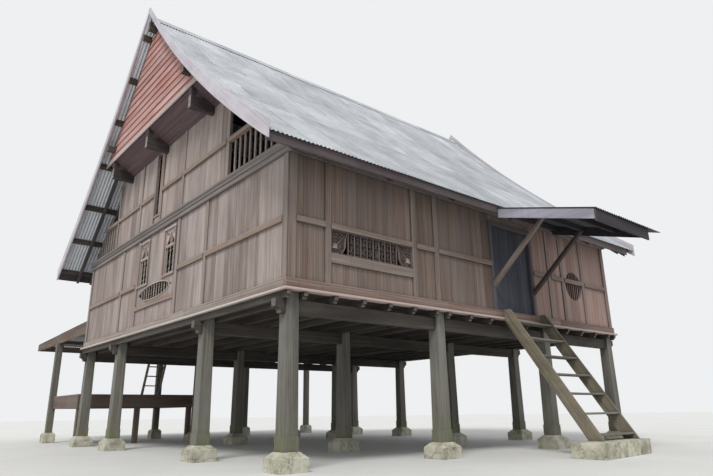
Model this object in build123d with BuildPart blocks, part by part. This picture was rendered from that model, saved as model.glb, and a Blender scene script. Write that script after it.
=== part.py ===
from build123d import *
import math
import os

os.makedirs("parts", exist_ok=True)

# A timber stilt house on sixteen posts, with a corrugated gable roof, a porch
# roof over the entrance stair and a lower roof over a deck at the back.
# Millimetres. X runs along the front, +Y to the back, +Z up. The origin is the
# setting-out point: the underside of the front left footing, on its centre.

# Post grid
front_bays = (3130, 3320, 2660)
side_bays = (2680, 4520, 2440)
post_side = 200
post_base_side = 245
post_base_height = 200
post_foot_side = 225
footing_side = 450
footing_top_side = 270
footing_height = 260
footing_plinth = 180

# Floor
floor_underside = 2460
bearer_width = 110
bearer_depth = 210
bearer_overhang = 170
bearer_cove = 90
joist_width = 70
joist_depth = 110
joist_overhang = 100
joist_edge_gap = 60
joist_cove = 45
joist_pitch = 600
floor_thickness = 30

# Walls
wall_thickness = 40
wall_top = 4630
sill_height = 185
sill_thickness = 80
ledge_height = 40
ledge_projection = 50
tie_band_height = 210
tie_band_thickness = 90
cornice_height = 50
cornice_projection = 35
front_band_top = 4710
batten_thickness = 22
batten_width = 110
rail_thickness = 40
rail_height = 95
low_rail_height = 150
low_rail_drop = 10
rail_bottom = 3525
corner_board = 130

# Windows: the casing stands proud of the wall round each opening
carved_window_left = 650
carved_window_right = 2430
carved_window_bottom = 3140
casing_width = 40
casing_thickness = 30
round_window_x = 7720
round_window_radius = 330
round_window_z = 3485
tall_window_width = 520
tall_window_bottom = 3540
tall_window_top = 4520
tall_window_places = (4350, 5790)
oval_window_y = 5094
oval_window_length = 1684
oval_window_height = 316
oval_rail_top = 3081
oval_rail_height = 91
oval_window_z = 3305

# Entrance door
door_left = 4760
door_right = 6030
door_head = 4410
jamb_width = 90
frame_depth = 100
frame_projection = 20
threshold_depth = 70
leaf_thickness = 35
door_gap = 6
meeting_gap = 8
leaf_setback = 2
pivot_radius = 12
pivot_depth = 25
pivot_clearance = 0.3
pivot_headroom = 4
groove_width = 8
groove_depth = 5
leaf_planks = 3

# Rear door
rear_door_left = 1650
rear_door_right = 2350
rear_door_head = 3100
rear_window_lift = 510

# Roof: three straight courses of sheets a side, each at its own pitch
ridge_top = 9820
course_runs = (1900, 1880, 1860)
course_pitches = (45.3, 42.6, 40.3)
verge_left_out = 750
verge_right_out = 600
sheet_drop = 40
purlin_drop = 90
rafter_drop = 150
purlin_width = 60
rafter_width = 60
rafter_end_inset = 80
fascia_thickness = 30
fascia_short_end = 260
fascia_bottom = 4430
ridge_beam_width = 100
ridge_beam_depth = 220
ridge_cap_run = 230
ridge_cap_drop = 25
verge_rafter_out = 250
plate_width = 130
plate_depth = 130

# Attic frame
attic_beam_bottom = 6460
attic_beam_depth = 260
attic_beam_width = 110
attic_beam_reach = 550
cross_tie_depth = 160
cross_tie_width = 100
king_post_side = 100

# Gable: an upright wall below, a boarded screen that stands forward above
screen_out = 510
screen_thickness = 30
screen_bottom = 6937
screen_block_length = 100
screen_trim_height = 100
screen_trim_drop = 25
screen_trim_thickness = 25
soffit_thickness = 30
soffit_wall_drop = 297
gable_panel_half = 3060
gable_rail_bottom = 5560
gable_rail_height = 85
gable_batten_width = 90
gable_stile_places = (3900, 6350)
slat_width = 50
slat_thickness = 25
slat_pitch = 180
hatch_y = 5265
hatch_width = 370
hatch_bottom = 5075
hatch_top = 6605
hatch_jamb = 50

# Bargeboards: sawn to a hollow curve
barge_thickness = 35
barge_runs = (0, 2652, 5650)
barge_rises = (220, 20, 130)
barge_depths = (170, 245, 300)

# Porch roof over the stair
porch_left = 4340
porch_right = 6240
porch_reach = 1950
porch_sheet_left_out = 20
porch_sheet_right_out = 450
porch_sheet_front_out = 50
porch_sheet_gap = 2
porch_top = 4550
porch_fall = 540
porch_sheet = 30
porch_board = 35
porch_side_depth = 210
porch_front_depth = 250
porch_purlin = 70
porch_purlin_depth = 110
strut_side = 80
strut_foot_z = 3090
strut_foot_height = 105
strut_beam_out = 1230

# Entrance stair
stair_left = 4860
stair_right = 6110
stair_foot_out = 1850
stair_angle = 56.3
stringer_thickness = 50
stringer_depth = 225
tread_count = 7
tread_rise = 343
first_tread_height = 110
tread_depth = 230
tread_thickness = 35
stair_slab_height = 250
stair_slab_left = 4420
stair_slab_right = 6320
stair_slab_front = -2200
stair_slab_depth = 600
stair_slab_skew = 180
stair_slab_taper = 50

# Back deck and its roof
deck_post_side = 170
deck_reach = 3000
deck_pad_side = 330
deck_pad_top_side = 240
deck_pad_plinth = 230
deck_pad_height = 290
rear_roof_reach = 5650
rear_roof_top = 3255
rear_roof_fall = 137
rear_roof_sheet = 30
rear_beam_depth = 160
rear_board_bottom = 2893
rear_board_thickness = 35
deck_post_outset = 90
deck_top = 1320
deck_thickness = 40
deck_beam_depth = 120
deck_edge_depth = 320
deck_edge_thickness = 35
deck_fit = 0.3
deck_beam_thickness = 70
deck_leg_side = 130
deck_gap = 300

# Ladder from the deck to the back door
ladder_left = 1720
ladder_right = 2250
ladder_foot_out = 580
ladder_head_out = 25
ladder_rail_thickness = 40
ladder_rail_depth = 95
ladder_rungs = 4
ladder_fit = 0.3
ladder_rung_depth = 80
ladder_rung_thickness = 28

# Values worked out from the sizes above
half_post = post_side / 2
columns = [sum(front_bays[:i]) for i in range(len(front_bays) + 1)]
rows = [sum(side_bays[:i]) for i in range(len(side_bays) + 1)]
left_face = -half_post
right_face = columns[-1] + half_post
front_face = -half_post
rear_face = rows[-1] + half_post
bearer_top = floor_underside - joist_depth
bearer_bottom = bearer_top - bearer_depth
floor_top = floor_underside + floor_thickness
sill_top = floor_underside + sill_height
tie_band_top = wall_top + tie_band_height
ridge_y = (rows[1] + rows[2]) / 2
eave_run = sum(course_runs)
rafter_top_drop = sheet_drop + purlin_drop
rafter_bottom_drop = rafter_top_drop + rafter_drop
rafter_run = eave_run - rafter_end_inset
verge_left = left_face - verge_left_out
verge_right = right_face + verge_right_out
attic_beam_top = attic_beam_bottom + attic_beam_depth
ledge_out = sill_thickness + ledge_projection


def bounds_box(x, y, z, mode=Mode.ADD):
    """A squared timber between a low and a high value along each axis."""
    middle = [(low + high) / 2 for low, high in (x, y, z)]
    size = [high - low for low, high in (x, y, z)]
    with Locations(tuple(middle)):
        Box(*size, mode=mode)


def side_box(side, along, out, z, mode=Mode.ADD):
    """A board on one side of the house, measured outward from the post faces."""
    low, high = out
    if side == "front":
        bounds_box(along, (front_face - high, front_face - low), z, mode)
    elif side == "rear":
        bounds_box(along, (rear_face + low, rear_face + high), z, mode)
    elif side == "left":
        bounds_box((left_face - high, left_face - low), along, z, mode)
    else:
        bounds_box((right_face + low, right_face + high), along, z, mode)


def gable_prism(points, x_low, x_high, mode=Mode.ADD):
    """An outline across the house, given as (y, z) points, run along X."""
    with BuildSketch(Plane.YZ.offset(x_low)) as outline:
        Polygon(*points, align=None)
    extrude(outline.sketch, amount=x_high - x_low, dir=(1, 0, 0), mode=mode)


def roof_z(run, drop=0):
    """Height of the roof line at a distance from the ridge, lowered by drop."""
    z = ridge_top
    for length, pitch in zip(course_runs, course_pitches):
        step = min(run, length)
        z -= step * math.tan(math.radians(pitch))
        run -= step
    return z - drop


def roof_run(z, drop=0):
    """Distance from the ridge at which the lowered roof line comes to a height."""
    run = 0
    fall = ridge_top - drop - z
    for length, pitch in zip(course_runs, course_pitches):
        slope = math.tan(math.radians(pitch))
        step = min(fall / slope, length)
        run += step
        fall -= step * slope
    return run


def roof_band(slope, start, end, top_drop, bottom_drop):
    """Outline of one layer of a roof slope: -1 is the front slope, 1 the rear."""
    breaks = [sum(course_runs[:i]) for i in range(1, len(course_runs))]
    runs = [start] + [run for run in breaks if start < run < end] + [end]
    top = [(ridge_y + slope * run, roof_z(run, top_drop)) for run in runs]
    bottom = [(ridge_y + slope * run, roof_z(run, bottom_drop)) for run in reversed(runs)]
    return top + bottom


def finish(part, label):
    """Name a finished piece and write it."""
    part.label = label
    export_step(part, f"parts/{label}.step")


# Heights of the wall plates, each tight under the rafters
plate_tops = {y: roof_z(abs(y - ridge_y), rafter_bottom_drop) for y in rows}


def square_loft(x, y, heights, sides):
    """A squared piece that changes its side from one height to the next."""
    faces = []
    for z, side in zip(heights, sides):
        with BuildSketch(Plane((x, y, z))) as section:
            Rectangle(side, side)
        faces.append(section.sketch.face())
    loft(faces, ruled=True)


# Footings: a square block with a sloping top under each post
deck_post_y = rear_face + deck_reach
deck_columns = [columns[0] - deck_post_outset, columns[1], columns[2], columns[3] + deck_post_outset]
with BuildPart() as footings:
    for x in columns:
        for y in rows:
            square_loft(
                x,
                y,
                (0, footing_plinth, footing_height),
                (footing_side, footing_side, footing_top_side),
            )
    for x in deck_columns:
        square_loft(
            x,
            deck_post_y,
            (0, deck_pad_plinth, deck_pad_height),
            (deck_pad_side, deck_pad_side, deck_pad_top_side),
        )
finish(footings.part, "footings")

# Posts taper up from a thicker base. The outer rows stop at the wall plates, the inner rows carry the roof
post_groups = {"outer_posts": (rows[0], rows[3]), "inner_posts": (rows[1], rows[2])}
for name, places in post_groups.items():
    with BuildPart() as posts:
        for y in places:
            for x in columns:
                square_loft(
                    x,
                    y,
                    (footing_height, footing_height + post_base_height),
                    (post_base_side, post_base_side),
                )
                square_loft(
                    x,
                    y,
                    (footing_height + post_base_height, bearer_bottom, plate_tops[y] - plate_depth),
                    (post_foot_side, post_side, post_side),
                )
            # Each post is mortised right through for the floor bearer
            bounds_box(
                (left_face - bearer_overhang, right_face + bearer_overhang),
                (y - bearer_width / 2, y + bearer_width / 2),
                (bearer_bottom, bearer_top),
                Mode.SUBTRACT,
            )
        # The tall inner posts are mortised again for the attic beams
        if name == "inner_posts":
            for y in places:
                bounds_box(
                    (left_face - attic_beam_reach, right_face + attic_beam_reach),
                    (y - attic_beam_width / 2, y + attic_beam_width / 2),
                    (attic_beam_bottom, attic_beam_top),
                    Mode.SUBTRACT,
                )
    finish(posts.part, name)

# Floor bearers run the length of the house through the mortises, with hollowed ends
with BuildPart() as bearers:
    for y in rows:
        bounds_box(
            (left_face - bearer_overhang, right_face + bearer_overhang),
            (y - bearer_width / 2, y + bearer_width / 2),
            (bearer_bottom, bearer_top),
        )
    bearer_ends = (left_face - bearer_overhang, right_face + bearer_overhang)
    with Locations([Location((x, y, bearer_bottom), (90, 0, 0)) for x in bearer_ends for y in rows]):
        Cylinder(bearer_cove, bearer_width, mode=Mode.SUBTRACT)
finish(bearers.part, "floor_bearers")

# Joists lie across the bearers, with an edge joist outside each gable row.
# Their front ends are hollowed under the ledge.
joist_ends = (front_face - joist_overhang, rear_face + joist_overhang)
joist_places = [left_face - joist_width / 2, right_face + joist_width / 2]
for low, high in zip(columns[:-1], columns[1:]):
    first = low + half_post + joist_edge_gap
    last = high - half_post - joist_edge_gap
    count = round((last - first) / joist_pitch)
    joist_places += [first + (last - first) * i / count for i in range(count + 1)]
with BuildPart() as joists:
    for x in joist_places:
        bounds_box(
            (x - joist_width / 2, x + joist_width / 2),
            joist_ends,
            (bearer_top, floor_underside),
        )
    with Locations([Location((x, joist_ends[0], bearer_top), (0, 90, 0)) for x in joist_places]):
        Cylinder(joist_cove, joist_width, mode=Mode.SUBTRACT)
finish(joists.part, "floor_joists")

# Floor, cut round the posts
with BuildPart() as floor:
    bounds_box(
        (left_face, right_face),
        (front_face, rear_face),
        (floor_underside, floor_top),
    )
    for x in columns:
        for y in rows:
            bounds_box(
                (x - half_post, x + half_post),
                (y - half_post, y + half_post),
                (floor_underside, floor_top),
                Mode.SUBTRACT,
            )
finish(floor.part, "floor_boards")

# Sill boards round the foot of the walls, with a ledge along the bottom edge
with BuildPart() as sills:
    for out, z in (
        (sill_thickness, (floor_underside, sill_top)),
        (ledge_out, (floor_underside, floor_underside + ledge_height)),
    ):
        bounds_box(
            (left_face - out, right_face + out),
            (front_face - out, rear_face + out),
            z,
        )
    bounds_box(
        (left_face, right_face),
        (front_face, rear_face),
        (floor_underside, sill_top),
        Mode.SUBTRACT,
    )
finish(sills.part, "sill_boards")

# Front wall in three pieces, beside and over the doorway
corner_left = left_face - wall_thickness
corner_right = right_face + wall_thickness
skin = (0, wall_thickness)
carved_window_top = rail_bottom
opening_left = door_left - jamb_width
opening_right = door_right + jamb_width
with BuildPart() as front_wall_left:
    side_box("front", (corner_left, opening_left), skin, (sill_top, wall_top))
    side_box(
        "front",
        (carved_window_left, carved_window_right),
        skin,
        (carved_window_bottom, carved_window_top),
        Mode.SUBTRACT,
    )
finish(front_wall_left.part, "front_wall_left")

with BuildPart() as front_wall_right:
    side_box("front", (opening_right, corner_right), skin, (sill_top, wall_top))
    with BuildSketch(Plane.XZ.offset(-front_face)) as round_hole:
        with Locations((round_window_x, round_window_z)):
            Circle(round_window_radius)
    extrude(round_hole.sketch, amount=wall_thickness, dir=(0, -1, 0), mode=Mode.SUBTRACT)
finish(front_wall_right.part, "front_wall_right")

with BuildPart() as front_wall_over_door:
    side_box(
        "front",
        (opening_left, opening_right),
        skin,
        (door_head + jamb_width, wall_top),
    )
finish(front_wall_over_door.part, "front_wall_over_door")

# Rear wall, cut for the low back door and a high window over the back roof
rear_opening = (rear_door_left - jamb_width, rear_door_right + jamb_width)
rear_window = (columns[-1] - carved_window_right, columns[-1] - carved_window_left)
with BuildPart() as rear_wall:
    side_box("rear", (corner_left, corner_right), skin, (sill_top, wall_top))
    side_box("rear", rear_opening, skin, (sill_top, rear_door_head + jamb_width), Mode.SUBTRACT)
    side_box(
        "rear",
        rear_window,
        skin,
        (carved_window_bottom + rear_window_lift, carved_window_top + rear_window_lift),
        Mode.SUBTRACT,
    )
finish(rear_wall.part, "rear_wall")


def cut_side_windows(side, out):
    """Cut the two tall windows and the oval of a gable wall."""
    for y in tall_window_places:
        side_box(
            side,
            (y - tall_window_width / 2, y + tall_window_width / 2),
            out,
            (tall_window_bottom, tall_window_top),
            Mode.SUBTRACT,
        )
    face = left_face - out[1] if side == "left" else right_face + out[0]
    with BuildSketch(Plane.YZ.offset(face)) as oval:
        with Locations((oval_window_y, oval_window_z)):
            Ellipse(oval_window_length / 2, oval_window_height / 2)
    extrude(oval.sketch, amount=out[1] - out[0], dir=(1, 0, 0), mode=Mode.SUBTRACT)


for side in ("left", "right"):
    with BuildPart() as gable_wall:
        side_box(side, (front_face, rear_face), skin, (sill_top, wall_top))
        cut_side_windows(side, skin)
    finish(gable_wall.part, f"{side}_wall")

# Tie band round the wall tops, with a cornice along its upper edge
with BuildPart() as tie_band:
    for out, z in (
        (tie_band_thickness, (wall_top, tie_band_top)),
        (tie_band_thickness + cornice_projection, (tie_band_top - cornice_height, tie_band_top)),
    ):
        bounds_box(
            (left_face - out, right_face + out),
            (front_face - out, rear_face + out),
            z,
        )
    bounds_box(
        (left_face, right_face),
        (front_face, rear_face),
        (wall_top, tie_band_top),
        Mode.SUBTRACT,
    )
    # Along the front it is shallower, to pass under the rafters
    front_along = (left_face, right_face)
    front_out = (0, tie_band_thickness + cornice_projection)
    side_box("front", front_along, front_out, (front_band_top, tie_band_top), Mode.SUBTRACT)
    side_box("front", front_along, front_out, (front_band_top - cornice_height, front_band_top))
finish(tie_band.part, "tie_band")

# Plates on the four rows of posts; the inner two reach out to the verges
plate_spans = {
    rows[0]: (left_face, right_face),
    rows[1]: (verge_left, verge_right),
    rows[2]: (verge_left, verge_right),
    rows[3]: (left_face, right_face),
}


def cut_or_add_plates(places, mode):
    """The plates on some rows, added as timbers or cut out as notches."""
    for y in places:
        bounds_box(
            plate_spans[y],
            (y - plate_width / 2, y + plate_width / 2),
            (plate_tops[y] - plate_depth, plate_tops[y]),
            mode,
        )


with BuildPart() as wall_plates:
    cut_or_add_plates(rows, Mode.ADD)
finish(wall_plates.part, "wall_plates")

# Attic beams run through the tall posts and stand out under the gable screens
with BuildPart() as attic_beams:
    for y in (rows[1], ridge_y, rows[2]):
        bounds_box(
            (left_face - attic_beam_reach, right_face + attic_beam_reach),
            (y - attic_beam_width / 2, y + attic_beam_width / 2),
            (attic_beam_bottom, attic_beam_top),
        )
finish(attic_beams.part, "attic_beams")

# Cross ties between the tall posts carry the middle beam
with BuildPart() as cross_ties:
    for x in columns:
        bounds_box(
            (x - cross_tie_width / 2, x + cross_tie_width / 2),
            (rows[1] + half_post, rows[2] - half_post),
            (attic_beam_bottom - cross_tie_depth, attic_beam_bottom),
        )
finish(cross_ties.part, "cross_ties")

# Ridge beam on king posts
ridge_half = ridge_beam_width / 2
ridge_beam_top = roof_z(ridge_half, rafter_top_drop)
with BuildPart() as king_posts:
    for x in columns:
        bounds_box(
            (x - king_post_side / 2, x + king_post_side / 2),
            (ridge_y - king_post_side / 2, ridge_y + king_post_side / 2),
            (attic_beam_top, ridge_beam_top - ridge_beam_depth),
        )
finish(king_posts.part, "king_posts")

with BuildPart() as ridge_beam:
    bounds_box(
        (verge_left, verge_right),
        (ridge_y - ridge_half, ridge_y + ridge_half),
        (ridge_beam_top - ridge_beam_depth, ridge_beam_top),
    )
finish(ridge_beam.part, "ridge_beam")

# Rafters, notched over the plates
rafter_places = [left_face - verge_rafter_out, right_face + verge_rafter_out]
for low, high in zip(columns[:-1], columns[1:]):
    rafter_places += [low, (low + high) / 2]
rafter_places.append(columns[-1])
slopes = {"front": -1, "rear": 1}
with BuildPart() as rafters:
    for slope in slopes.values():
        band = roof_band(slope, ridge_half, rafter_run, rafter_top_drop, rafter_bottom_drop)
        for x in rafter_places:
            gable_prism(band, x - rafter_width / 2, x + rafter_width / 2)
    cut_or_add_plates(rows, Mode.SUBTRACT)
finish(rafters.part, "rafters")

# Purlins across the rafters, out to the verges
purlin_runs = (330, 1100, 1900, 2840, 3780, 4640, 5480)
with BuildPart() as purlins:
    for slope in slopes.values():
        for run in purlin_runs:
            start = run - purlin_width / 2
            end = run + purlin_width / 2
            band = roof_band(slope, start, end, sheet_drop, rafter_top_drop)
            gable_prism(band, verge_left, verge_right)
finish(purlins.part, "purlins")

# Roof sheets, one slope each, and the folded ridge cap
for name, slope in slopes.items():
    with BuildPart() as sheets:
        gable_prism(roof_band(slope, 0, eave_run, 0, sheet_drop), verge_left, verge_right)
    finish(sheets.part, f"{name}_roof")

with BuildPart() as ridge_cap:
    for slope in slopes.values():
        gable_prism(roof_band(slope, 0, ridge_cap_run, -ridge_cap_drop, 0), verge_left, verge_right)
finish(ridge_cap.part, "ridge_cap")

# Fascia boards along the eaves, short of the right verge
with BuildPart() as fascias:
    for slope in slopes.values():
        y_in = ridge_y + slope * rafter_run
        y_out = y_in + slope * fascia_thickness
        bounds_box(
            (verge_left, verge_right - fascia_short_end),
            (min(y_in, y_out), max(y_in, y_out)),
            (fascia_bottom, roof_z(rafter_run + fascia_thickness, sheet_drop)),
        )
finish(fascias.part, "eave_fascias")

# Bargeboards: two hollow-curved boards at each end, meeting under the peak
with BuildPart() as bargeboards:
    for x in (verge_left - barge_thickness, verge_right):
        for slope in slopes.values():
            outer = [
                (ridge_y + slope * run, roof_z(run) + rise)
                for run, rise in zip(barge_runs, barge_rises)
            ]
            inner = [(y, z - depth) for (y, z), depth in zip(outer, barge_depths)]
            with BuildSketch(Plane.YZ.offset(x)) as board:
                with BuildLine():
                    ThreePointArc(*outer)
                    Line(outer[2], inner[2])
                    ThreePointArc(*reversed(inner))
                    Line(inner[0], outer[0])
                make_face()
            extrude(board.sketch, amount=barge_thickness, dir=(1, 0, 0))
finish(bargeboards.part, "bargeboards")

# Gable walls above the tie band
gable_top = roof_run(screen_bottom, rafter_bottom_drop)
gable_half_top = min(gable_top, gable_panel_half)
gable_outline = [
    (ridge_y - gable_panel_half, tie_band_top),
    (ridge_y - gable_panel_half, roof_z(gable_panel_half, rafter_bottom_drop)),
    (ridge_y - gable_half_top, screen_bottom),
    (ridge_y + gable_half_top, screen_bottom),
    (ridge_y + gable_panel_half, roof_z(gable_panel_half, rafter_bottom_drop)),
    (ridge_y + gable_panel_half, tie_band_top),
]
gable_side = {
    "left": (left_face - wall_thickness, left_face),
    "right": (right_face, right_face + wall_thickness),
}
with BuildPart() as gable_walls:
    for x_low, x_high in gable_side.values():
        gable_prism(gable_outline, x_low, x_high)
        for y in (rows[1], ridge_y, rows[2]):
            bounds_box(
                (x_low, x_high),
                (y - attic_beam_width / 2, y + attic_beam_width / 2),
                (attic_beam_bottom, attic_beam_top),
                Mode.SUBTRACT,
            )
        bounds_box(
            (x_low, x_high),
            (hatch_y - hatch_width / 2, hatch_y + hatch_width / 2),
            (hatch_bottom, hatch_top),
            Mode.SUBTRACT,
        )
finish(gable_walls.part, "gable_walls")

# Open slats close the corners beside the gable walls
with BuildPart() as gable_slats:
    for side in gable_side:
        for slope in slopes.values():
            run = gable_panel_half + slat_pitch
            while roof_z(run, rafter_bottom_drop) > tie_band_top + gable_rail_height:
                y = ridge_y + slope * run
                top = min(gable_rail_bottom, roof_z(run + slat_width / 2, rafter_bottom_drop))
                if front_face < y < rear_face:
                    side_box(
                        side,
                        (y - slat_width / 2, y + slat_width / 2),
                        (0, slat_thickness),
                        (tie_band_top, top),
                    )
                run += slat_pitch
finish(gable_slats.part, "gable_slats")

# Gable screens: boarded triangles that stand forward on the beam ends
screen_run = roof_run(screen_bottom, rafter_top_drop)
screen_breaks = [run for run in (course_runs[0],) if run < screen_run]
screen_points = (
    [(ridge_y - screen_run, screen_bottom)]
    + [(ridge_y - run, roof_z(run, rafter_top_drop)) for run in reversed(screen_breaks)]
    + [(ridge_y, roof_z(0, rafter_top_drop))]
    + [(ridge_y + run, roof_z(run, rafter_top_drop)) for run in screen_breaks]
    + [(ridge_y + screen_run, screen_bottom)]
)
screen_x = {
    "left": left_face - wall_thickness - screen_out,
    "right": right_face + wall_thickness + screen_out - screen_thickness,
}
with BuildPart() as gable_screens:
    for x in screen_x.values():
        gable_prism(screen_points, x, x + screen_thickness)
        bounds_box(
            (x, x + screen_thickness),
            (ridge_y - ridge_half, ridge_y + ridge_half),
            (ridge_beam_top - ridge_beam_depth, ridge_top),
            Mode.SUBTRACT,
        )
    cut_or_add_plates(rows[1:3], Mode.SUBTRACT)
finish(gable_screens.part, "gable_screens")

# Blocks on the beam ends carry the screens
beam_rows = (rows[1], ridge_y, rows[2])
block_x = {
    "left": (left_face - attic_beam_reach, left_face - attic_beam_reach + screen_block_length),
    "right": (right_face + attic_beam_reach - screen_block_length, right_face + attic_beam_reach),
}


def beam_end_boxes(z, mode):
    """A box as wide as an attic beam at each beam end that stands out."""
    for name in gable_side:
        for y in beam_rows:
            bounds_box(
                block_x[name],
                (y - attic_beam_width / 2, y + attic_beam_width / 2),
                z,
                mode,
            )


with BuildPart() as screen_beams:
    beam_end_boxes((attic_beam_top, screen_bottom), Mode.ADD)
finish(screen_beams.part, "screen_beams")

# A pale board along the foot of each screen
trim_z = (screen_bottom - screen_trim_drop, screen_bottom - screen_trim_drop + screen_trim_height)
trim_runs = [roof_run(z, rafter_top_drop) for z in trim_z]
trim_points = [
    (ridge_y - trim_runs[0], trim_z[0]),
    (ridge_y - trim_runs[1], trim_z[1]),
    (ridge_y + trim_runs[1], trim_z[1]),
    (ridge_y + trim_runs[0], trim_z[0]),
]
with BuildPart() as screen_trim:
    for name, x in screen_x.items():
        x_low = x - screen_trim_thickness if name == "left" else x + screen_thickness
        gable_prism(trim_points, x_low, x_low + screen_trim_thickness)
finish(screen_trim.part, "screen_trim")

# Soffits slope from the foot of each screen down to the wall behind it
soffit_half = roof_run(screen_bottom, rafter_bottom_drop) - rafter_width
soffit_wall_z = screen_bottom - soffit_thickness - soffit_wall_drop
soffit_span = (ridge_y - soffit_half, ridge_y + soffit_half)
with BuildPart() as soffits:
    for name, x in screen_x.items():
        x_screen = x + screen_thickness if name == "left" else x
        x_wall = gable_side[name][0 if name == "left" else 1]
        with BuildSketch(Plane.XZ.offset(-soffit_span[1])) as soffit_profile:
            Polygon(
                (x_screen, screen_bottom),
                (x_screen, screen_bottom - soffit_thickness),
                (x_wall, soffit_wall_z),
                (x_wall, soffit_wall_z + soffit_thickness),
                align=None,
            )
        extrude(soffit_profile.sketch, amount=soffit_span[1] - soffit_span[0], dir=(0, -1, 0))
        for y in beam_rows:
            bounds_box(
                (min(x_screen, x_wall), max(x_screen, x_wall)),
                (y - attic_beam_width / 2, y + attic_beam_width / 2),
                (attic_beam_bottom, attic_beam_top),
                Mode.SUBTRACT,
            )
    beam_end_boxes((attic_beam_top, screen_bottom), Mode.SUBTRACT)
finish(soffits.part, "gable_soffits")

# Upright battens and corner boards on the outside of the walls
batten_out = (wall_thickness, wall_thickness + batten_thickness)
rail_out = (wall_thickness, wall_thickness + rail_thickness)
casing_out = (wall_thickness, wall_thickness + casing_thickness)
rail_z = (rail_bottom, rail_bottom + rail_height)
wall_z = (sill_top, wall_top)
gable_rail_z = (gable_rail_bottom, gable_rail_bottom + gable_rail_height)
front_battens = (590, 2490, 3060, 6730, 7260, 8130)
gable_battens = (2630, 3920, 6150, 7200)
rear_battens = (980, 4640, 6620, 8520)
wall_ends = (front_face - wall_thickness, rear_face + wall_thickness)


def centred(places, width):
    """Low and high edges of boards of one width at some places."""
    return [(place - width / 2, place + width / 2) for place in places]


def corners(ends):
    """Low and high edges of the corner boards at the ends of a wall."""
    return [(ends[0], ends[0] + corner_board), (ends[1] - corner_board, ends[1])]


def rails_between(side, uprights, out, z):
    """Rails that fill the spaces between neighbouring uprights."""
    edges = sorted(uprights)
    for (_, start), (end, _) in zip(edges[:-1], edges[1:]):
        side_box(side, (start, end), out, z)


front_uprights = corners((corner_left, corner_right)) + centred(front_battens, batten_width)
with BuildPart() as front_trim:
    for along in front_uprights:
        side_box("front", along, batten_out, wall_z)
finish(front_trim.part, "front_battens")

side_uprights = corners(wall_ends) + centred(gable_battens, batten_width)
window_sides = []
for place in tall_window_places:
    edge_low = place - tall_window_width / 2
    edge_high = place + tall_window_width / 2
    window_sides += [(edge_low - casing_width, edge_low), (edge_high, edge_high + casing_width)]
hatch_edges = (hatch_y - hatch_width / 2, hatch_y + hatch_width / 2)
gable_edges = (ridge_y - gable_panel_half, ridge_y + gable_panel_half)
gable_ends = [
    (gable_edges[0], gable_edges[0] + gable_batten_width),
    (gable_edges[1] - gable_batten_width, gable_edges[1]),
]
gable_stiles = centred(gable_stile_places, gable_batten_width)
hatch_sides = [(hatch_edges[0] - hatch_jamb, hatch_edges[0]), (hatch_edges[1], hatch_edges[1] + hatch_jamb)]
gable_end_top = roof_z(gable_panel_half, rafter_bottom_drop)
with BuildPart() as side_trim:
    for side in ("left", "right"):
        for along in side_uprights:
            side_box(side, along, batten_out, wall_z)
        for along in window_sides:
            side_box(side, along, casing_out, (tall_window_bottom, tall_window_top))
        for along in gable_ends:
            side_box(side, along, batten_out, (tie_band_top, gable_end_top))
        for along in gable_stiles + hatch_sides:
            side_box(side, along, batten_out, (tie_band_top, soffit_wall_z))
finish(side_trim.part, "side_battens")

# Rear battens, split where the back roof meets the wall
rear_uprights = corners((corner_left, corner_right)) + centred(rear_battens, batten_width)
with BuildPart() as rear_trim:
    for along in rear_uprights:
        side_box("rear", along, batten_out, (sill_top, rear_board_bottom))
        side_box("rear", along, batten_out, (rear_roof_top, wall_top))
finish(rear_trim.part, "rear_battens")

# Rails between the uprights, and the heads and sills of the windows
low_rail_top = carved_window_bottom - low_rail_drop
window_battens = centred(front_battens[:2], batten_width)
oval_posts = centred(gable_battens[1:3], batten_width)
gable_rail_run = roof_run(gable_rail_z[1], rafter_bottom_drop)
with BuildPart() as wall_rails:
    rails_between("front", front_uprights + [(opening_left, opening_right)], rail_out, rail_z)
    rails_between("front", window_battens, casing_out, (low_rail_top - low_rail_height, low_rail_top))
    rails_between("rear", rear_uprights, rail_out, rail_z)
    for side in ("left", "right"):
        rails_between(side, side_uprights[:1] + centred(gable_battens[:2], batten_width), rail_out, rail_z)
        rails_between(side, centred(gable_battens[2:], batten_width) + side_uprights[1:2], rail_out, rail_z)
        rails_between(side, oval_posts, casing_out, (oval_rail_top - oval_rail_height, oval_rail_top))
        for place in tall_window_places:
            along = (
                place - tall_window_width / 2 - casing_width,
                place + tall_window_width / 2 + casing_width,
            )
            side_box(side, along, casing_out, (tall_window_bottom - casing_width, tall_window_bottom))
            side_box(side, along, casing_out, (tall_window_top, tall_window_top + casing_width))
        rails_between(
            side,
            gable_ends + gable_stiles + [(hatch_sides[0][0], hatch_sides[1][1])],
            rail_out,
            gable_rail_z,
        )
        rails_between(side, hatch_sides, batten_out, (hatch_bottom - hatch_jamb, hatch_bottom))
        # Past the boarded panel the rail lies on the slats
        for along in (
            (ridge_y - gable_rail_run, gable_edges[0]),
            (gable_edges[1], ridge_y + gable_rail_run),
        ):
            side_box(side, along, (0, rail_out[1]), gable_rail_z)
finish(wall_rails.part, "wall_rails")

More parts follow.
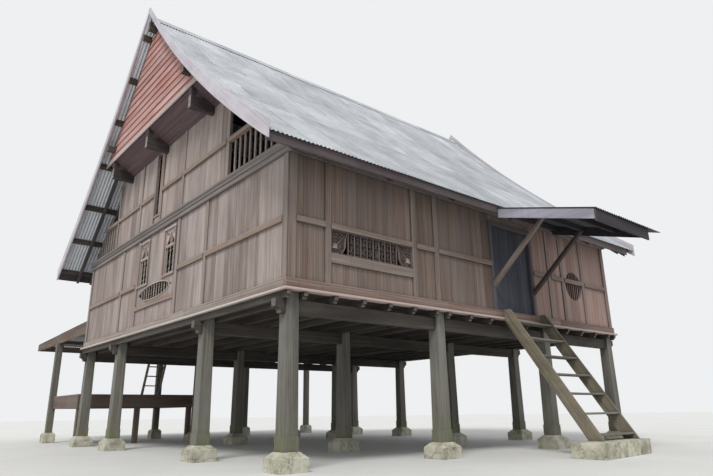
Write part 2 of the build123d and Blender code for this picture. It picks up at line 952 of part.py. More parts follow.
# Door frame: jambs and head on the sill, and a threshold on the floor behind it
frame_front = front_face - wall_thickness - frame_projection
frame_back = frame_front + frame_depth
leaf_back = frame_back - leaf_setback
pivot_y = leaf_back - leaf_thickness / 2
door_middle = (door_left + door_right) / 2
pivot_inset = door_gap + leaf_thickness / 2
leaf_sides = {
    "left": (door_left + pivot_inset, door_middle - meeting_gap / 2),
    "right": (door_right - pivot_inset, door_middle + meeting_gap / 2),
}
with BuildPart() as door_frame:
    bounds_box(
        (opening_left, opening_right),
        (frame_front, frame_back),
        (sill_top, door_head + jamb_width),
    )
    bounds_box(
        (door_left, door_right),
        (frame_front, frame_back),
        (sill_top, door_head),
        Mode.SUBTRACT,
    )
    bounds_box(
        (opening_left, opening_right),
        (front_face, front_face + threshold_depth),
        (floor_top, sill_top),
    )
    # Sockets for the wooden pivots of the leaves
    for pivot_x, free_x in leaf_sides.values():
        for z in (sill_top - pivot_depth, door_head):
            with BuildSketch(Plane((pivot_x, pivot_y, z))) as socket:
                Circle(pivot_radius + pivot_clearance)
            extrude(socket.sketch, amount=pivot_depth, mode=Mode.SUBTRACT)
finish(door_frame.part, "door_frame")

# Two door leaves, shut: each hangs on pivots at the ends of its rounded stile
leaf_bottom = sill_top + door_gap
leaf_top = door_head - door_gap
for name, (pivot_x, free_x) in leaf_sides.items():
    with BuildPart() as leaf:
        with BuildSketch(Plane.XY.offset(leaf_bottom)) as leaf_plan:
            with Locations((pivot_x, pivot_y)):
                Circle(leaf_thickness / 2)
            with Locations(((pivot_x + free_x) / 2, pivot_y)):
                Rectangle(abs(free_x - pivot_x), leaf_thickness)
        extrude(leaf_plan.sketch, amount=leaf_top - leaf_bottom)
        # Shallow grooves mark the joints of its planks
        for plank in range(1, leaf_planks):
            x = pivot_x + (free_x - pivot_x) * plank / leaf_planks
            bounds_box(
                (x - groove_width / 2, x + groove_width / 2),
                (pivot_y - leaf_thickness / 2, pivot_y - leaf_thickness / 2 + groove_depth),
                (leaf_bottom, leaf_top),
                Mode.SUBTRACT,
            )
        pivot_bottom = sill_top - pivot_depth + pivot_clearance
        pivot_top = door_head + pivot_depth - pivot_headroom
        for low, high in ((pivot_bottom, leaf_bottom), (leaf_top, pivot_top)):
            with BuildSketch(Plane((pivot_x, pivot_y, low))) as pivot:
                Circle(pivot_radius)
            extrude(pivot.sketch, amount=high - low)
    finish(leaf.part, f"door_leaf_{name}")

# Back door, shut
with BuildPart() as rear_door:
    side_box("rear", rear_opening, (0, wall_thickness), (sill_top, rear_door_head + jamb_width))
finish(rear_door.part, "rear_door")

# Porch roof: sheets on a boarded frame, held up by two struts
porch_back = ridge_y - rafter_run - fascia_thickness - porch_sheet_gap
porch_front = porch_back - porch_reach


def porch_z(y, drop=0):
    """Height of the porch roof line at a place in Y, lowered by drop."""
    return porch_top - porch_fall * (porch_back - y) / porch_reach - drop


def porch_band(y_front, y_back, top_drop, bottom_drop):
    """Outline of one layer of the porch roof."""
    return [
        (y_back, porch_z(y_back, top_drop)),
        (y_front, porch_z(y_front, top_drop)),
        (y_front, porch_z(y_front, bottom_drop)),
        (y_back, porch_z(y_back, bottom_drop)),
    ]


with BuildPart() as porch_roof:
    gable_prism(
        porch_band(porch_front - porch_sheet_front_out, porch_back, 0, porch_sheet),
        porch_left - porch_sheet_left_out,
        porch_right + porch_sheet_right_out,
    )
finish(porch_roof.part, "porch_roof")

strut_beam_y = front_face - strut_beam_out
with BuildPart() as porch_frame:
    side_outline = porch_band(porch_front, porch_back, porch_sheet, porch_side_depth)
    gable_prism(side_outline, porch_left, porch_left + porch_board)
    gable_prism(side_outline, porch_right - porch_board, porch_right)
    front_outline = porch_band(
        porch_front, porch_front + porch_board, porch_sheet, porch_front_depth
    )
    gable_prism(front_outline, porch_left, porch_right)
    for y in (porch_back - porch_purlin, strut_beam_y, (strut_beam_y + porch_front) / 2):
        gable_prism(
            porch_band(y - porch_purlin, y, porch_sheet, porch_sheet + porch_purlin_depth),
            porch_left,
            porch_right,
        )
finish(porch_frame.part, "porch_frame")

beam_drop = porch_sheet + porch_purlin_depth
with BuildPart() as struts:
    strut_outline = [
        (frame_front, strut_foot_z),
        (strut_beam_y - porch_purlin, porch_z(strut_beam_y - porch_purlin, beam_drop)),
        (strut_beam_y, porch_z(strut_beam_y, beam_drop)),
        (frame_front, strut_foot_z + strut_foot_height),
    ]
    for x in (door_left - jamb_width / 2, door_right + jamb_width / 2):
        gable_prism(strut_outline, x - strut_side / 2, x + strut_side / 2)
finish(struts.part, "porch_struts")

# Entrance stair: two stringers cut level at the foot and the head, with treads between them
stair_top_y = front_face - ledge_out
stair_foot_y = front_face - stair_foot_out
stair_slope = math.tan(math.radians(stair_angle))
stringer_cut = stringer_depth / math.sin(math.radians(stair_angle))


def stair_line_y(z):
    """Place of the stringers' front edge at a height."""
    return stair_foot_y + (z - stair_slab_height) / stair_slope


stringer_outline = [
    (stair_foot_y, stair_slab_height),
    (stair_line_y(sill_top), sill_top),
    (stair_top_y, sill_top),
    (stair_top_y, stair_slab_height + (stair_top_y - stair_foot_y - stringer_cut) * stair_slope),
    (stair_foot_y + stringer_cut, stair_slab_height),
]
with BuildPart() as stringers:
    for x in (stair_left, stair_right - stringer_thickness):
        gable_prism(stringer_outline, x, x + stringer_thickness)
finish(stringers.part, "stair_stringers")

with BuildPart() as treads:
    for step in range(tread_count):
        top = stair_slab_height + first_tread_height + step * tread_rise
        nosing = stair_line_y(top)
        bounds_box(
            (stair_left + stringer_thickness, stair_right - stringer_thickness),
            (nosing, nosing + tread_depth),
            (top - tread_thickness, top),
        )
finish(treads.part, "stair_treads")

with BuildPart() as stair_slab:
    with BuildSketch() as slab_outline:
        Polygon(
            (stair_slab_left, stair_slab_front),
            (stair_slab_right, stair_slab_front + stair_slab_skew),
            (stair_slab_right - stair_slab_taper, stair_slab_front + stair_slab_depth + stair_slab_taper),
            (stair_slab_left, stair_slab_front + stair_slab_depth),
            align=None,
        )
    extrude(slab_outline.sketch, amount=stair_slab_height)
finish(stair_slab.part, "stair_slab")

# Back roof: a low pitch from the rear wall over one row of posts
rear_start = rear_face + wall_thickness
rear_end = rear_start + rear_roof_reach


def rear_z(y, drop=0):
    """Height of the back roof line at a place in Y, lowered by drop."""
    return rear_roof_top - rear_roof_fall * (y - rear_start) / rear_roof_reach - drop


def rear_band(y_start, y_end, top_drop, bottom_drop):
    """Outline of one layer of the back roof."""
    return [
        (y_start, rear_z(y_start, top_drop)),
        (y_end, rear_z(y_end, top_drop)),
        (y_end, rear_z(y_end, bottom_drop)),
        (y_start, rear_z(y_start, bottom_drop)),
    ]


rear_roof_skin = (rear_start, rear_end)
rear_rafter_drop = rear_roof_sheet + rear_beam_depth
with BuildPart() as rear_sheets:
    gable_prism(rear_band(*rear_roof_skin, 0, rear_roof_sheet), corner_left, corner_right)
finish(rear_sheets.part, "back_roof")

half_deck_post = deck_post_side / 2
with BuildPart() as rear_frame:
    for x in columns:
        gable_prism(
            rear_band(rear_start, rear_end - rear_board_thickness, rear_roof_sheet, rear_rafter_drop),
            x - joist_width / 2,
            x + joist_width / 2,
        )
    # Edge boards with a level lower edge along both sides and the far end
    for x_low, x_high, y_low in (
        (corner_left, corner_left + rear_board_thickness, rear_start),
        (corner_right - rear_board_thickness, corner_right, rear_start),
        (corner_left, corner_right, rear_end - rear_board_thickness),
    ):
        edge_outline = [
            (y_low, rear_z(y_low, rear_roof_sheet)),
            (rear_end, rear_z(rear_end, rear_roof_sheet)),
            (rear_end, rear_board_bottom),
            (y_low, rear_board_bottom),
        ]
        gable_prism(edge_outline, x_low, x_high)
    # A beam on the posts carries the rafters
    beam_y = (deck_post_y - half_deck_post, deck_post_y + half_deck_post)
    beam_outline = [
        (beam_y[0], rear_board_bottom),
        (beam_y[0], rear_z(beam_y[0], rear_rafter_drop)),
        (beam_y[1], rear_z(beam_y[1], rear_rafter_drop)),
        (beam_y[1], rear_board_bottom),
    ]
    gable_prism(beam_outline, corner_left, corner_right)
finish(rear_frame.part, "back_roof_frame")

with BuildPart() as deck_posts:
    for x in deck_columns:
        bounds_box(
            (x - half_deck_post, x + half_deck_post),
            beam_y,
            (deck_pad_height, rear_board_bottom),
        )
finish(deck_posts.part, "back_posts")

# Deck between the rear wall and the row of back posts
deck_start = rear_start + deck_gap
deck_end = deck_post_y - half_deck_post
deck_span = (columns[0] - half_deck_post, columns[1] + half_deck_post)
deck_underside = deck_top - deck_thickness
with BuildPart() as deck:
    bounds_box(deck_span, (deck_start, deck_end), (deck_underside, deck_top))
finish(deck.part, "deck_boards")

# Deck frame: edge boards, three beams between them, and a leg under each beam's near end
edge_z = (deck_underside - deck_edge_depth, deck_underside)
beam_z = (deck_underside - deck_beam_depth, deck_underside)
inner_x = (deck_span[0] + deck_edge_thickness + deck_fit, deck_span[1] - deck_edge_thickness - deck_fit)
inner_y = (deck_start + deck_edge_thickness + deck_fit, deck_end - deck_edge_thickness - deck_fit)
half_leg = deck_leg_side / 2
with BuildPart() as deck_frame:
    for x_low in (deck_span[0], deck_span[1] - deck_edge_thickness):
        bounds_box((x_low, x_low + deck_edge_thickness), (deck_start, deck_end), edge_z)
    for y_low in (deck_start, deck_end - deck_edge_thickness):
        bounds_box(inner_x, (y_low, y_low + deck_edge_thickness), edge_z)
    for x in (inner_x[0] + half_leg, (inner_x[0] + inner_x[1]) / 2, inner_x[1] - half_leg):
        bounds_box((x - deck_beam_thickness / 2, x + deck_beam_thickness / 2), inner_y, beam_z)
        bounds_box(
            (x - half_leg, x + half_leg),
            (inner_y[0], inner_y[0] + deck_leg_side),
            (0, beam_z[0] - deck_fit),
        )
finish(deck_frame.part, "deck_frame")

# Ladder from the deck to the back door
ladder_wall_y = rear_face + ledge_out
ladder_foot_y = ladder_wall_y + ladder_foot_out
ladder_head_y = ladder_wall_y + ladder_head_out
ladder_slope = (sill_top - deck_top) / (ladder_foot_y - ladder_head_y)
ladder_cut = ladder_rail_depth / math.sin(math.atan(ladder_slope))
ladder_outline = [
    (ladder_foot_y, deck_top),
    (ladder_head_y, sill_top),
    (ladder_wall_y, sill_top),
    (ladder_wall_y, deck_top + (ladder_foot_y - ladder_cut - ladder_wall_y) * ladder_slope),
    (ladder_foot_y - ladder_cut, deck_top),
]
rung_rise = (sill_top - deck_top) / (ladder_rungs + 1)
with BuildPart() as ladder:
    for x in (ladder_left, ladder_right - ladder_rail_thickness):
        gable_prism(ladder_outline, x, x + ladder_rail_thickness)
    for rung in range(1, ladder_rungs + 1):
        top = deck_top + rung * rung_rise
        rung_y = ladder_foot_y - (top - deck_top) / ladder_slope - ladder_cut / 2
        bounds_box(
            (
                ladder_left + ladder_rail_thickness + ladder_fit,
                ladder_right - ladder_rail_thickness - ladder_fit,
            ),
            (rung_y - ladder_rung_depth / 2, rung_y + ladder_rung_depth / 2),
            (top - ladder_rung_thickness, top),
        )
finish(ladder.part, "back_ladder")
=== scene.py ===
import math
import random
from itertools import pairwise

import bmesh
import bpy
from mathutils import Matrix, Vector, noise


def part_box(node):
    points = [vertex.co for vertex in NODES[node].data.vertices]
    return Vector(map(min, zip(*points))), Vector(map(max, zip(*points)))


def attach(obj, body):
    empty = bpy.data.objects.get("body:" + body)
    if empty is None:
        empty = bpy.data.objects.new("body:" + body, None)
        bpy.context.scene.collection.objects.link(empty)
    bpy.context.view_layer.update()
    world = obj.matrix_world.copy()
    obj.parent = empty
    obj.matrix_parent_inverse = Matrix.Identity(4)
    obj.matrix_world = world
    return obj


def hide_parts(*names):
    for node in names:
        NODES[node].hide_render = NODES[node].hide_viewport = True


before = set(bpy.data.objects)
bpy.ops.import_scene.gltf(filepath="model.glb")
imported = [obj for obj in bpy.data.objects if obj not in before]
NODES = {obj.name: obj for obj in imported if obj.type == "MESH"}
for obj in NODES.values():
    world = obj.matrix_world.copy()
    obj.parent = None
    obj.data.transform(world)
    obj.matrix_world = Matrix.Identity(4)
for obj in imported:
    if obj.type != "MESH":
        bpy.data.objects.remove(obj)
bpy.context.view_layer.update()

# The camera: its lens and place were fitted to the edges of the house in the photograph
CAMERA_AT = Vector((-4.595, -7.044, 0.775))
YAW, PITCH, ROLL = math.radians(39.90), math.radians(16.69), math.radians(-0.78)
LENS, SENSOR = 29.19, 36.0


def add_camera():
    forward = Vector((math.sin(YAW) * math.cos(PITCH), math.cos(YAW) * math.cos(PITCH), math.sin(PITCH)))
    right = Vector((math.cos(YAW), -math.sin(YAW), 0))
    up = right.cross(forward)
    side = math.cos(ROLL) * right + math.sin(ROLL) * up
    top = -math.sin(ROLL) * right + math.cos(ROLL) * up
    data = bpy.data.cameras.new("camera")
    data.lens = LENS
    data.sensor_width = SENSOR
    data.sensor_fit = "HORIZONTAL"
    camera = bpy.data.objects.new("camera", data)
    turn = Matrix((side, top, -forward)).transposed()
    camera.matrix_world = Matrix.Translation(CAMERA_AT) @ turn.to_4x4()
    bpy.context.scene.collection.objects.link(camera)
    bpy.context.scene.camera = camera


add_camera()


# Materials
def srgb(red, green, blue):
    """A colour given as 0 to 255 on screen, as the linear values that sockets take."""
    def linear(value):
        value /= 255
        return value / 12.92 if value <= 0.04045 else ((value + 0.055) / 1.055) ** 2.4
    return (linear(red), linear(green), linear(blue), 1)


class Tree:
    """Short forms for building the nodes of a material or of the world."""

    def __init__(self, owner):
        owner.use_nodes = True
        self.owner, self.tree = owner, owner.node_tree
        self.tree.nodes.clear()

    def add(self, kind, inputs=(), **settings):
        node = self.tree.nodes.new("ShaderNode" + kind)
        for key, value in settings.items():
            setattr(node, key, value)
        for key, value in dict(inputs).items():
            socket = node.inputs[key]
            if isinstance(value, bpy.types.NodeSocket):
                self.tree.links.new(value, socket)
            else:
                socket.default_value = value
        return node

    def math(self, operation, first, second=0.0, third=0.0, clamp=False):
        node = self.add("Math", {0: first, 1: second, 2: third}, operation=operation, use_clamp=clamp)
        return node.outputs[0]

    def times(self, first, second):
        return self.math("MULTIPLY", first, second)

    def mix(self, factor, first, second):
        return self.add("Mix", {0: factor, 6: first, 7: second}, data_type="RGBA").outputs[2]

    def span(self, value, low, high, to_low=0.0, to_high=1.0):
        node = self.add("MapRange", {0: value, 1: low, 2: high, 3: to_low, 4: to_high}, clamp=True)
        return node.outputs[0]

    def ramp(self, factor, stops):
        node = self.add("ValToRGB", {0: factor})
        elements = node.color_ramp.elements
        while len(elements) < len(stops):
            elements.new(0.5)
        for element, (place, colour) in zip(elements, stops):
            element.position = place
            element.color = colour
        return node.outputs[0]

    def noise(self, vector, scale, detail=4.0, rough=0.55, seed=None, distortion=0.0):
        inputs = {"Vector": vector, "Scale": scale, "Detail": detail, "Roughness": rough,
                  "Distortion": distortion}
        if seed is None:
            return self.add("TexNoise", inputs).outputs[0]
        return self.add("TexNoise", inputs | {"W": seed}, noise_dimensions="4D").outputs[0]

    def stretched(self, vector, scale):
        return self.add("Mapping", {"Vector": vector, "Scale": scale}).outputs[0]

    def tone(self):
        """The tone that each board of a joined mesh carries, from -0.5 to 0.5."""
        return self.add("Attribute", attribute_name="tone").outputs["Fac"]

    def finish(self, colour, rough, height, depth, normal=None, metallic=0.0, specular=0.5):
        """The shader, with bumps of a given depth over a given normal."""
        bump = {"Height": height, "Strength": 1.0, "Distance": depth}
        if normal is not None:
            bump["Normal"] = normal
        shader = self.add("BsdfPrincipled", {
            "Base Color": colour, "Roughness": rough, "Normal": self.add("Bump", bump).outputs[0],
            "Metallic": metallic, "Specular IOR Level": specular})
        self.add("OutputMaterial", {0: shader.outputs[0]})
        return self.owner


AXES = {"x": 0, "y": 1, "z": 2}
# A near black, for painted shade in corners and for dirt in cracks
SHADE_AND_DIRT = (0.010, 0.008, 0.008, 1)


def along(grain, across_scale, along_scale):
    """Noise scale for each axis, fine across the grain and long with it."""
    scale = [across_scale] * 3
    scale[AXES[grain]] = along_scale
    return tuple(scale)


def timber(name, dark, mid, light, grain, slope, shade, grey=None, grey_share=0.35, green=None, green_top=0.0,
           streaks=0.25, wear=0.35, island=0.3, edge=0.007, end_grain=0.4, cracks=0.5):
    """Weathered wood. Slope turns the grain about X, island is how much boards differ, and green is algae
    that thins out up to green_top."""
    t = Tree(bpy.data.materials.new(name))
    coords = t.add("TexCoord").outputs["Object"]
    grained = coords
    if slope:
        grained = t.add("Mapping", {"Vector": coords, "Rotation": (slope, 0, 0)}).outputs[0]
    geometry = t.add("NewGeometry").outputs
    tone = t.tone()
    seed = t.math("MULTIPLY_ADD", tone, 60.0, shade * 9)
    fibre = t.noise(t.stretched(grained, along(grain, 58, 0.75)), 1.0, 6, 0.66, seed, 0.15)
    band = t.noise(t.stretched(grained, along(grain, 8, 0.25)), 1.0, 4, 0.55, seed, 0.4)
    mixed = t.math("ADD", t.times(fibre, 0.65), t.times(band, 0.35))
    colour = t.ramp(mixed, [(0.30, dark), (0.5, mid), (0.70, light)])
    # Board by board, the wood is darker or lighter, and some boards are redder
    value = t.math("MULTIPLY_ADD", tone, island, 1.0 + shade * 0.14)
    hue = t.math("MULTIPLY_ADD", t.math("FRACT", t.times(tone, 7.3)), -0.012, 0.506)
    colour = t.add("HueSaturation", {"Color": colour, "Value": value, "Hue": hue}).outputs[0]
    if grey is not None:
        patch = t.noise(t.stretched(coords, along(grain, 2.2, 0.6)), 1.0, 6, 0.6, seed)
        colour = t.mix(t.span(patch, 0.42, 0.68, 0.0, grey_share), colour, grey)
    # Rain streaks run down, whatever the grain
    run = t.noise(t.stretched(coords, (13, 13, 0.4)), 1.0, 5, 0.6)
    stained = t.mix(0.7, colour, (0.012, 0.010, 0.010, 1))
    colour = t.mix(t.span(run, 0.54, 0.80, 0.0, streaks), colour, stained)
    if green is not None:
        height = t.add("SeparateXYZ", {0: coords}).outputs[2]
        low = t.span(height, 0.25, green_top, 1.0, 0.0)
        moss = t.noise(coords, 5.0, 8, 0.7)
        colour = t.mix(t.times(low, t.span(moss, 0.40, 0.66)), colour, green)
    # Cut ends are paler and greyer, with rings in place of fibres
    turned = t.add("VectorRotate", {"Vector": geometry["Normal"], "Angle": slope}, rotation_type="X_AXIS")
    facing = t.math("ABSOLUTE", t.add("SeparateXYZ", {0: turned.outputs[0]}).outputs[AXES[grain]])
    end = t.times(t.span(facing, 0.80, 0.92), end_grain)
    rings = t.noise(coords, 42, 4, 0.7)
    pale = t.ramp(rings, [(0.38, mid), (0.60, srgb(172, 166, 158))])
    colour = t.mix(end, colour, pale)
    # Painted shade, with some dirt: darker where boards meet and in corners, as ambient occlusion finds them
    occlusion_shade = t.add("AmbientOcclusion", {"Distance": 0.08}, samples=5).outputs["AO"]
    colour = t.mix(t.span(occlusion_shade, 0.30, 0.85, 0.65, 0.0), colour, t.mix(0.75, colour, SHADE_AND_DIRT))
    # Checks: thin dark cracks with the grain
    crack = t.noise(t.stretched(grained, along(grain, 140, 1.3)), 1.0, 2, 0.5, seed, 0.4)
    open_crack = t.span(crack, 0.68, 0.73)
    colour = t.mix(t.times(open_crack, cracks), colour, SHADE_AND_DIRT)
    # Rounded, paler edges
    bevel = t.add("Bevel", {"Radius": edge}, samples=4).outputs[0]
    agree = t.add("VectorMath", {0: bevel, 1: geometry["Normal"]}, operation="DOT_PRODUCT").outputs["Value"]
    patchy = t.span(t.noise(coords, 9.0, 5, 0.7), 0.38, 0.6, 0.25, 1.0)
    worn = t.times(t.span(agree, 0.995, 0.86), patchy)
    colour = t.mix(t.times(worn, wear), colour, t.mix(0.5, light, (0.42, 0.40, 0.38, 1)))
    roughness = t.span(fibre, 0.3, 0.7, 0.72, 0.92)
    height = t.math("SUBTRACT", t.math("ADD", fibre, band), t.times(open_crack, 1.2))
    return t.finish(colour, roughness, height, 0.0018, bevel, specular=0.3)


def metal_sheet(name, base, dark, light, under, rust):
    """Old galvanised sheet: weathered grey above with streaks down the slope, and another colour on the faces
    that look down.
    """
    t = Tree(bpy.data.materials.new(name))
    coords = t.add("TexCoord").outputs["Object"]
    tone = t.tone()
    seed = t.times(tone, 40.0)
    cells = t.add("TexVoronoi", {"Vector": coords, "Scale": 45.0}).outputs["Color"]
    spangle = t.add("SeparateColor", {0: cells}).outputs[0]
    patch = t.noise(coords, 0.9, 7, 0.7, seed)
    colour = t.ramp(patch, [(0.30, dark), (0.5, base), (0.70, light)])
    value = t.math("MULTIPLY_ADD", tone, 0.22, 1.0)
    colour = t.add("HueSaturation", {"Color": colour, "Value": value}).outputs[0]
    colour = t.mix(t.span(spangle, 0, 1, 0.0, 0.10), colour, light)
    run = t.noise(t.stretched(coords, (22, 0.7, 0.7)), 1.0, 6, 0.62, seed)
    colour = t.mix(t.span(run, 0.48, 0.74, 0.0, 0.4), colour, dark)
    below = t.add("SeparateXYZ", {0: t.add("NewGeometry").outputs["Normal"]}).outputs[2]
    colour = t.mix(t.span(below, -0.1, -0.3, 0.0, 0.92), colour, under)
    runs = t.noise(t.stretched(coords, (11, 0.8, 0.8)), 1.0, 5, 0.6)
    share = t.span(t.times(t.noise(coords, 3.1, 8, 0.72), runs), 0.27, 0.38, 0.0, 0.22)
    colour = t.mix(share, colour, rust)
    roughness = t.math("ADD", t.span(patch, 0.35, 0.65, 0.42, 0.62), t.times(share, 0.5), clamp=True)
    return t.finish(colour, roughness, t.noise(coords, 24, 5, 0.6), 0.0012, metallic=0.3)


def concrete(name, base, dark, light, moss):
    """Pale cast concrete with stains, pits and moss towards the ground."""
    t = Tree(bpy.data.materials.new(name))
    coords = t.add("TexCoord").outputs["Object"]
    patch = t.noise(coords, 3.2, 8, 0.68)
    grit = t.noise(coords, 95, 3, 0.6)
    colour = t.ramp(t.math("ADD", t.times(patch, 0.75), t.times(grit, 0.25)),
                    [(0.36, dark), (0.5, base), (0.64, light)])
    height = t.add("SeparateXYZ", {0: coords}).outputs[2]
    low = t.span(height, 0.02, 0.5, 1.0, 0.10)
    clump = t.noise(coords, 6.5, 9, 0.74)
    share = t.times(low, t.span(clump, 0.52, 0.66))
    colour = t.mix(t.times(share, 0.6), colour, moss)
    pits = t.span(t.add("TexVoronoi", {"Vector": coords, "Scale": 55.0}).outputs["Distance"], 0.0, 0.18)
    crack_field = t.noise(coords, 2.1, 6, 0.6)
    crack = t.span(t.math("ABSOLUTE", t.math("SUBTRACT", crack_field, 0.5)), 0.0, 0.006, 1.0, 0.0)
    colour = t.mix(t.times(crack, 0.5), colour, (0.03, 0.028, 0.024, 1))
    bevel = t.add("Bevel", {"Radius": 0.016}, samples=4).outputs[0]
    bumps = t.math("ADD", t.times(patch, 2.0), t.math("ADD", t.times(grit, 0.4), pits))
    bumps = t.math("SUBTRACT", t.math("ADD", bumps, share), crack)
    return t.finish(colour, t.span(patch, 0.3, 0.7, 0.85, 0.95), bumps, 0.006, bevel, specular=0.25)


def tints(dark, mid, light, grey=None, **special):
    """What timber needs for one kind of wood. These colours are given as 0 to 255 on screen."""
    return dict(dark=srgb(*dark), mid=srgb(*mid), light=srgb(*light), grey=grey and srgb(*grey), **special)


GREY = (150, 146, 142)
ALGAE = srgb(108, 114, 76)
# Dark, middle and light colour of each kind of wood, its grey patches, and what is special about it
WOODS = {
    # Painted light, in part: the side woods, wall_side, batten_side, rail_side, sill_side and ledge_side, are
    # lighter than the front ones as if lit from the left, and greyer
    "wall_side": tints((96, 82, 76), (141, 127, 121), (184, 172, 166), (180, 172, 170), grey_share=0.5,
                       island=0.45),
    "wall_front": tints((74, 60, 54), (114, 97, 88), (150, 132, 120), (122, 120, 124), island=0.40),
    # Painted light: the front wall right of the door, in lighter boards than the rest of the front
    "wall_front_right": tints((96, 76, 70), (142, 116, 108), (176, 150, 142), (150, 138, 138), island=0.35),
    "batten": tints((84, 70, 66), (122, 106, 100), (160, 144, 138), GREY, island=0.2),
    "batten_side": tints((96, 84, 80), (138, 124, 118), (176, 164, 158), GREY),
    "rail": tints((78, 66, 61), (118, 103, 96), (156, 141, 134), GREY, grey_share=0.3),
    "rail_side": tints((94, 76, 68), (142, 122, 112), (180, 160, 150), GREY, grey_share=0.25),
    "sill": tints((84, 66, 60), (126, 106, 96), (166, 148, 138), (168, 158, 152), end_grain=0.2),
    "sill_side": tints((96, 82, 76), (142, 128, 120), (180, 168, 160), (176, 172, 170), end_grain=0.2),
    "band": tints((78, 70, 67), (118, 109, 105), (158, 150, 146), (150, 148, 148), end_grain=0.2),
    "ledge": tints((126, 108, 102), (168, 150, 144), (200, 186, 180), (196, 188, 184), end_grain=0.2),
    "ledge_side": tints((152, 142, 134), (192, 183, 175), (216, 209, 202), (208, 206, 202), end_grain=0.2),
    # Painted shade, in part: frame and floor are darkened for the shade under the house
    "frame": tints((36, 31, 29), (62, 56, 52), (98, 92, 86), (120, 118, 112), grey_share=0.25),
    "floor": tints((36, 27, 24), (60, 47, 42), (88, 74, 68), island=0.5),
    "post": tints((66, 63, 58), (102, 99, 92), (142, 139, 131), (140, 139, 134), grey_share=0.5, green=ALGAE,
                  green_top=0.8, streaks=0.5, edge=0.012, end_grain=0.0),
    "stair": tints((60, 53, 45), (106, 97, 84), (160, 152, 134), (150, 146, 128), grey_share=0.4, streaks=0.4,
                   wear=0.8, end_grain=0.0),
    "tread": tints((66, 62, 56), (106, 102, 94), (152, 148, 138), (150, 148, 140), grey_share=0.4, wear=0.8,
                   end_grain=0.0),
    "screen": tints((122, 76, 70), (170, 122, 114), (206, 166, 158), (208, 190, 188), grey_share=0.45,
                    island=0.22, end_grain=0.0),
    "screen_trim": tints((128, 108, 104), (172, 154, 150), (206, 192, 188), (206, 202, 202), grey_share=0.4),
    "soffit": tints((62, 48, 52), (94, 76, 80), (124, 108, 112), island=0.3),
    "barge": tints((146, 140, 146), (184, 178, 186), (212, 208, 216), (206, 206, 214), grey_share=0.5,
                   streaks=0.12, cracks=0.3, end_grain=0.2),
    "fascia": tints((52, 44, 46), (78, 68, 70), (110, 100, 101), GREY, grey_share=0.15),
    "rafter": tints((44, 40, 42), (72, 68, 70), (106, 102, 104), end_grain=0.0),
    # Painted shade, in part: the beams are dark for the shade under the gable eaves, with pale cut ends
    "beam": tints((40, 34, 35), (66, 58, 59), (98, 90, 90), end_grain=0.9),
    "porch_side": tints((108, 108, 118), (147, 145, 158), (180, 178, 190), (173, 175, 188), grey_share=0.5,
                        end_grain=0.0),
    # Painted shade: the porch wood made dark, for the boards that face away from the light
    "porch_dark": tints((32, 29, 32), (52, 48, 53), (80, 76, 81), end_grain=0.2),
    "strut": tints((74, 64, 60), (114, 102, 96), (154, 142, 136), end_grain=0.2),
    "strut_dark": tints((44, 38, 37), (68, 60, 58), (98, 90, 88), end_grain=0.2),
    "door": tints((42, 45, 51), (64, 68, 77), (92, 96, 105), island=0.2, end_grain=0.0),
    "door_frame": tints((56, 52, 54), (86, 82, 86), (120, 116, 120), end_grain=0.0),
    "deck": tints((60, 48, 42), (94, 78, 70), (132, 114, 104), GREY, grey_share=0.3),
    "casing": tints((124, 108, 102), (164, 148, 142), (196, 182, 176), (190, 184, 180), end_grain=0.0,
                    streaks=0.15),
    "carving": tints((74, 62, 58), (112, 98, 92), (154, 140, 132), end_grain=0.0, edge=0.003),
    "carving_dark": tints((44, 38, 36), (72, 64, 62), (104, 96, 92), end_grain=0.0, edge=0.003),
    "carving_pale": tints((112, 102, 96), (148, 138, 131), (184, 174, 167), end_grain=0.0, edge=0.003,
                          streaks=0.1),
}
MATERIALS = {
    "roof": metal_sheet("roof", base=srgb(170, 174, 179), dark=srgb(134, 139, 145), light=srgb(196, 199, 203),
                        under=srgb(212, 217, 224), rust=srgb(118, 84, 64)),
    "low_roof": metal_sheet("low_roof", base=srgb(134, 138, 144), dark=srgb(98, 102, 109),
                            light=srgb(166, 170, 175), under=srgb(92, 90, 94), rust=srgb(112, 78, 60)),
    "concrete": concrete("concrete", base=srgb(186, 183, 166), dark=srgb(136, 133, 116),
                         light=srgb(212, 210, 196), moss=srgb(118, 122, 82)),
}


def wood(kind, grain, slope=0, shade=0):
    """One kind of wood whose grain runs along an axis, turned about X by slope degrees."""
    name = f"{kind}_{grain}_{slope}_{shade}"
    if name not in MATERIALS:
        MATERIALS[name] = timber(name, grain=grain, slope=math.radians(slope), shade=shade, **WOODS[kind])
    return MATERIALS[name]


# Sizes shared with the part, in metres
wall_low, wall_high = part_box("left_wall")
gable_low, gable_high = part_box("gable_walls")
door_low, door_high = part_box("door_frame")
hatch_low, hatch_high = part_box("rear_door")
roof_low, roof_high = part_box("front_roof")
LEFT, RIGHT = wall_high[0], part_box("right_wall")[0][0]
FRONT, REAR, SILL_TOP, WALL_TOP = wall_low[1], wall_high[1], wall_low[2], wall_high[2]
GABLE_FOOT, GABLE_TOP, GABLE_ENDS = gable_low[2], gable_high[2], (gable_low[1], gable_high[1])
DOORWAY, DOOR_HEAD = (door_low[0], door_high[0]), door_high[2]
REAR_HATCH = (hatch_low[0], hatch_high[0], SILL_TOP, hatch_high[2])
VERGES, RIDGE_Y, RIDGE_Z = (roof_low[0], roof_high[0]), roof_high[1], roof_high[2]
WALL = 0.040
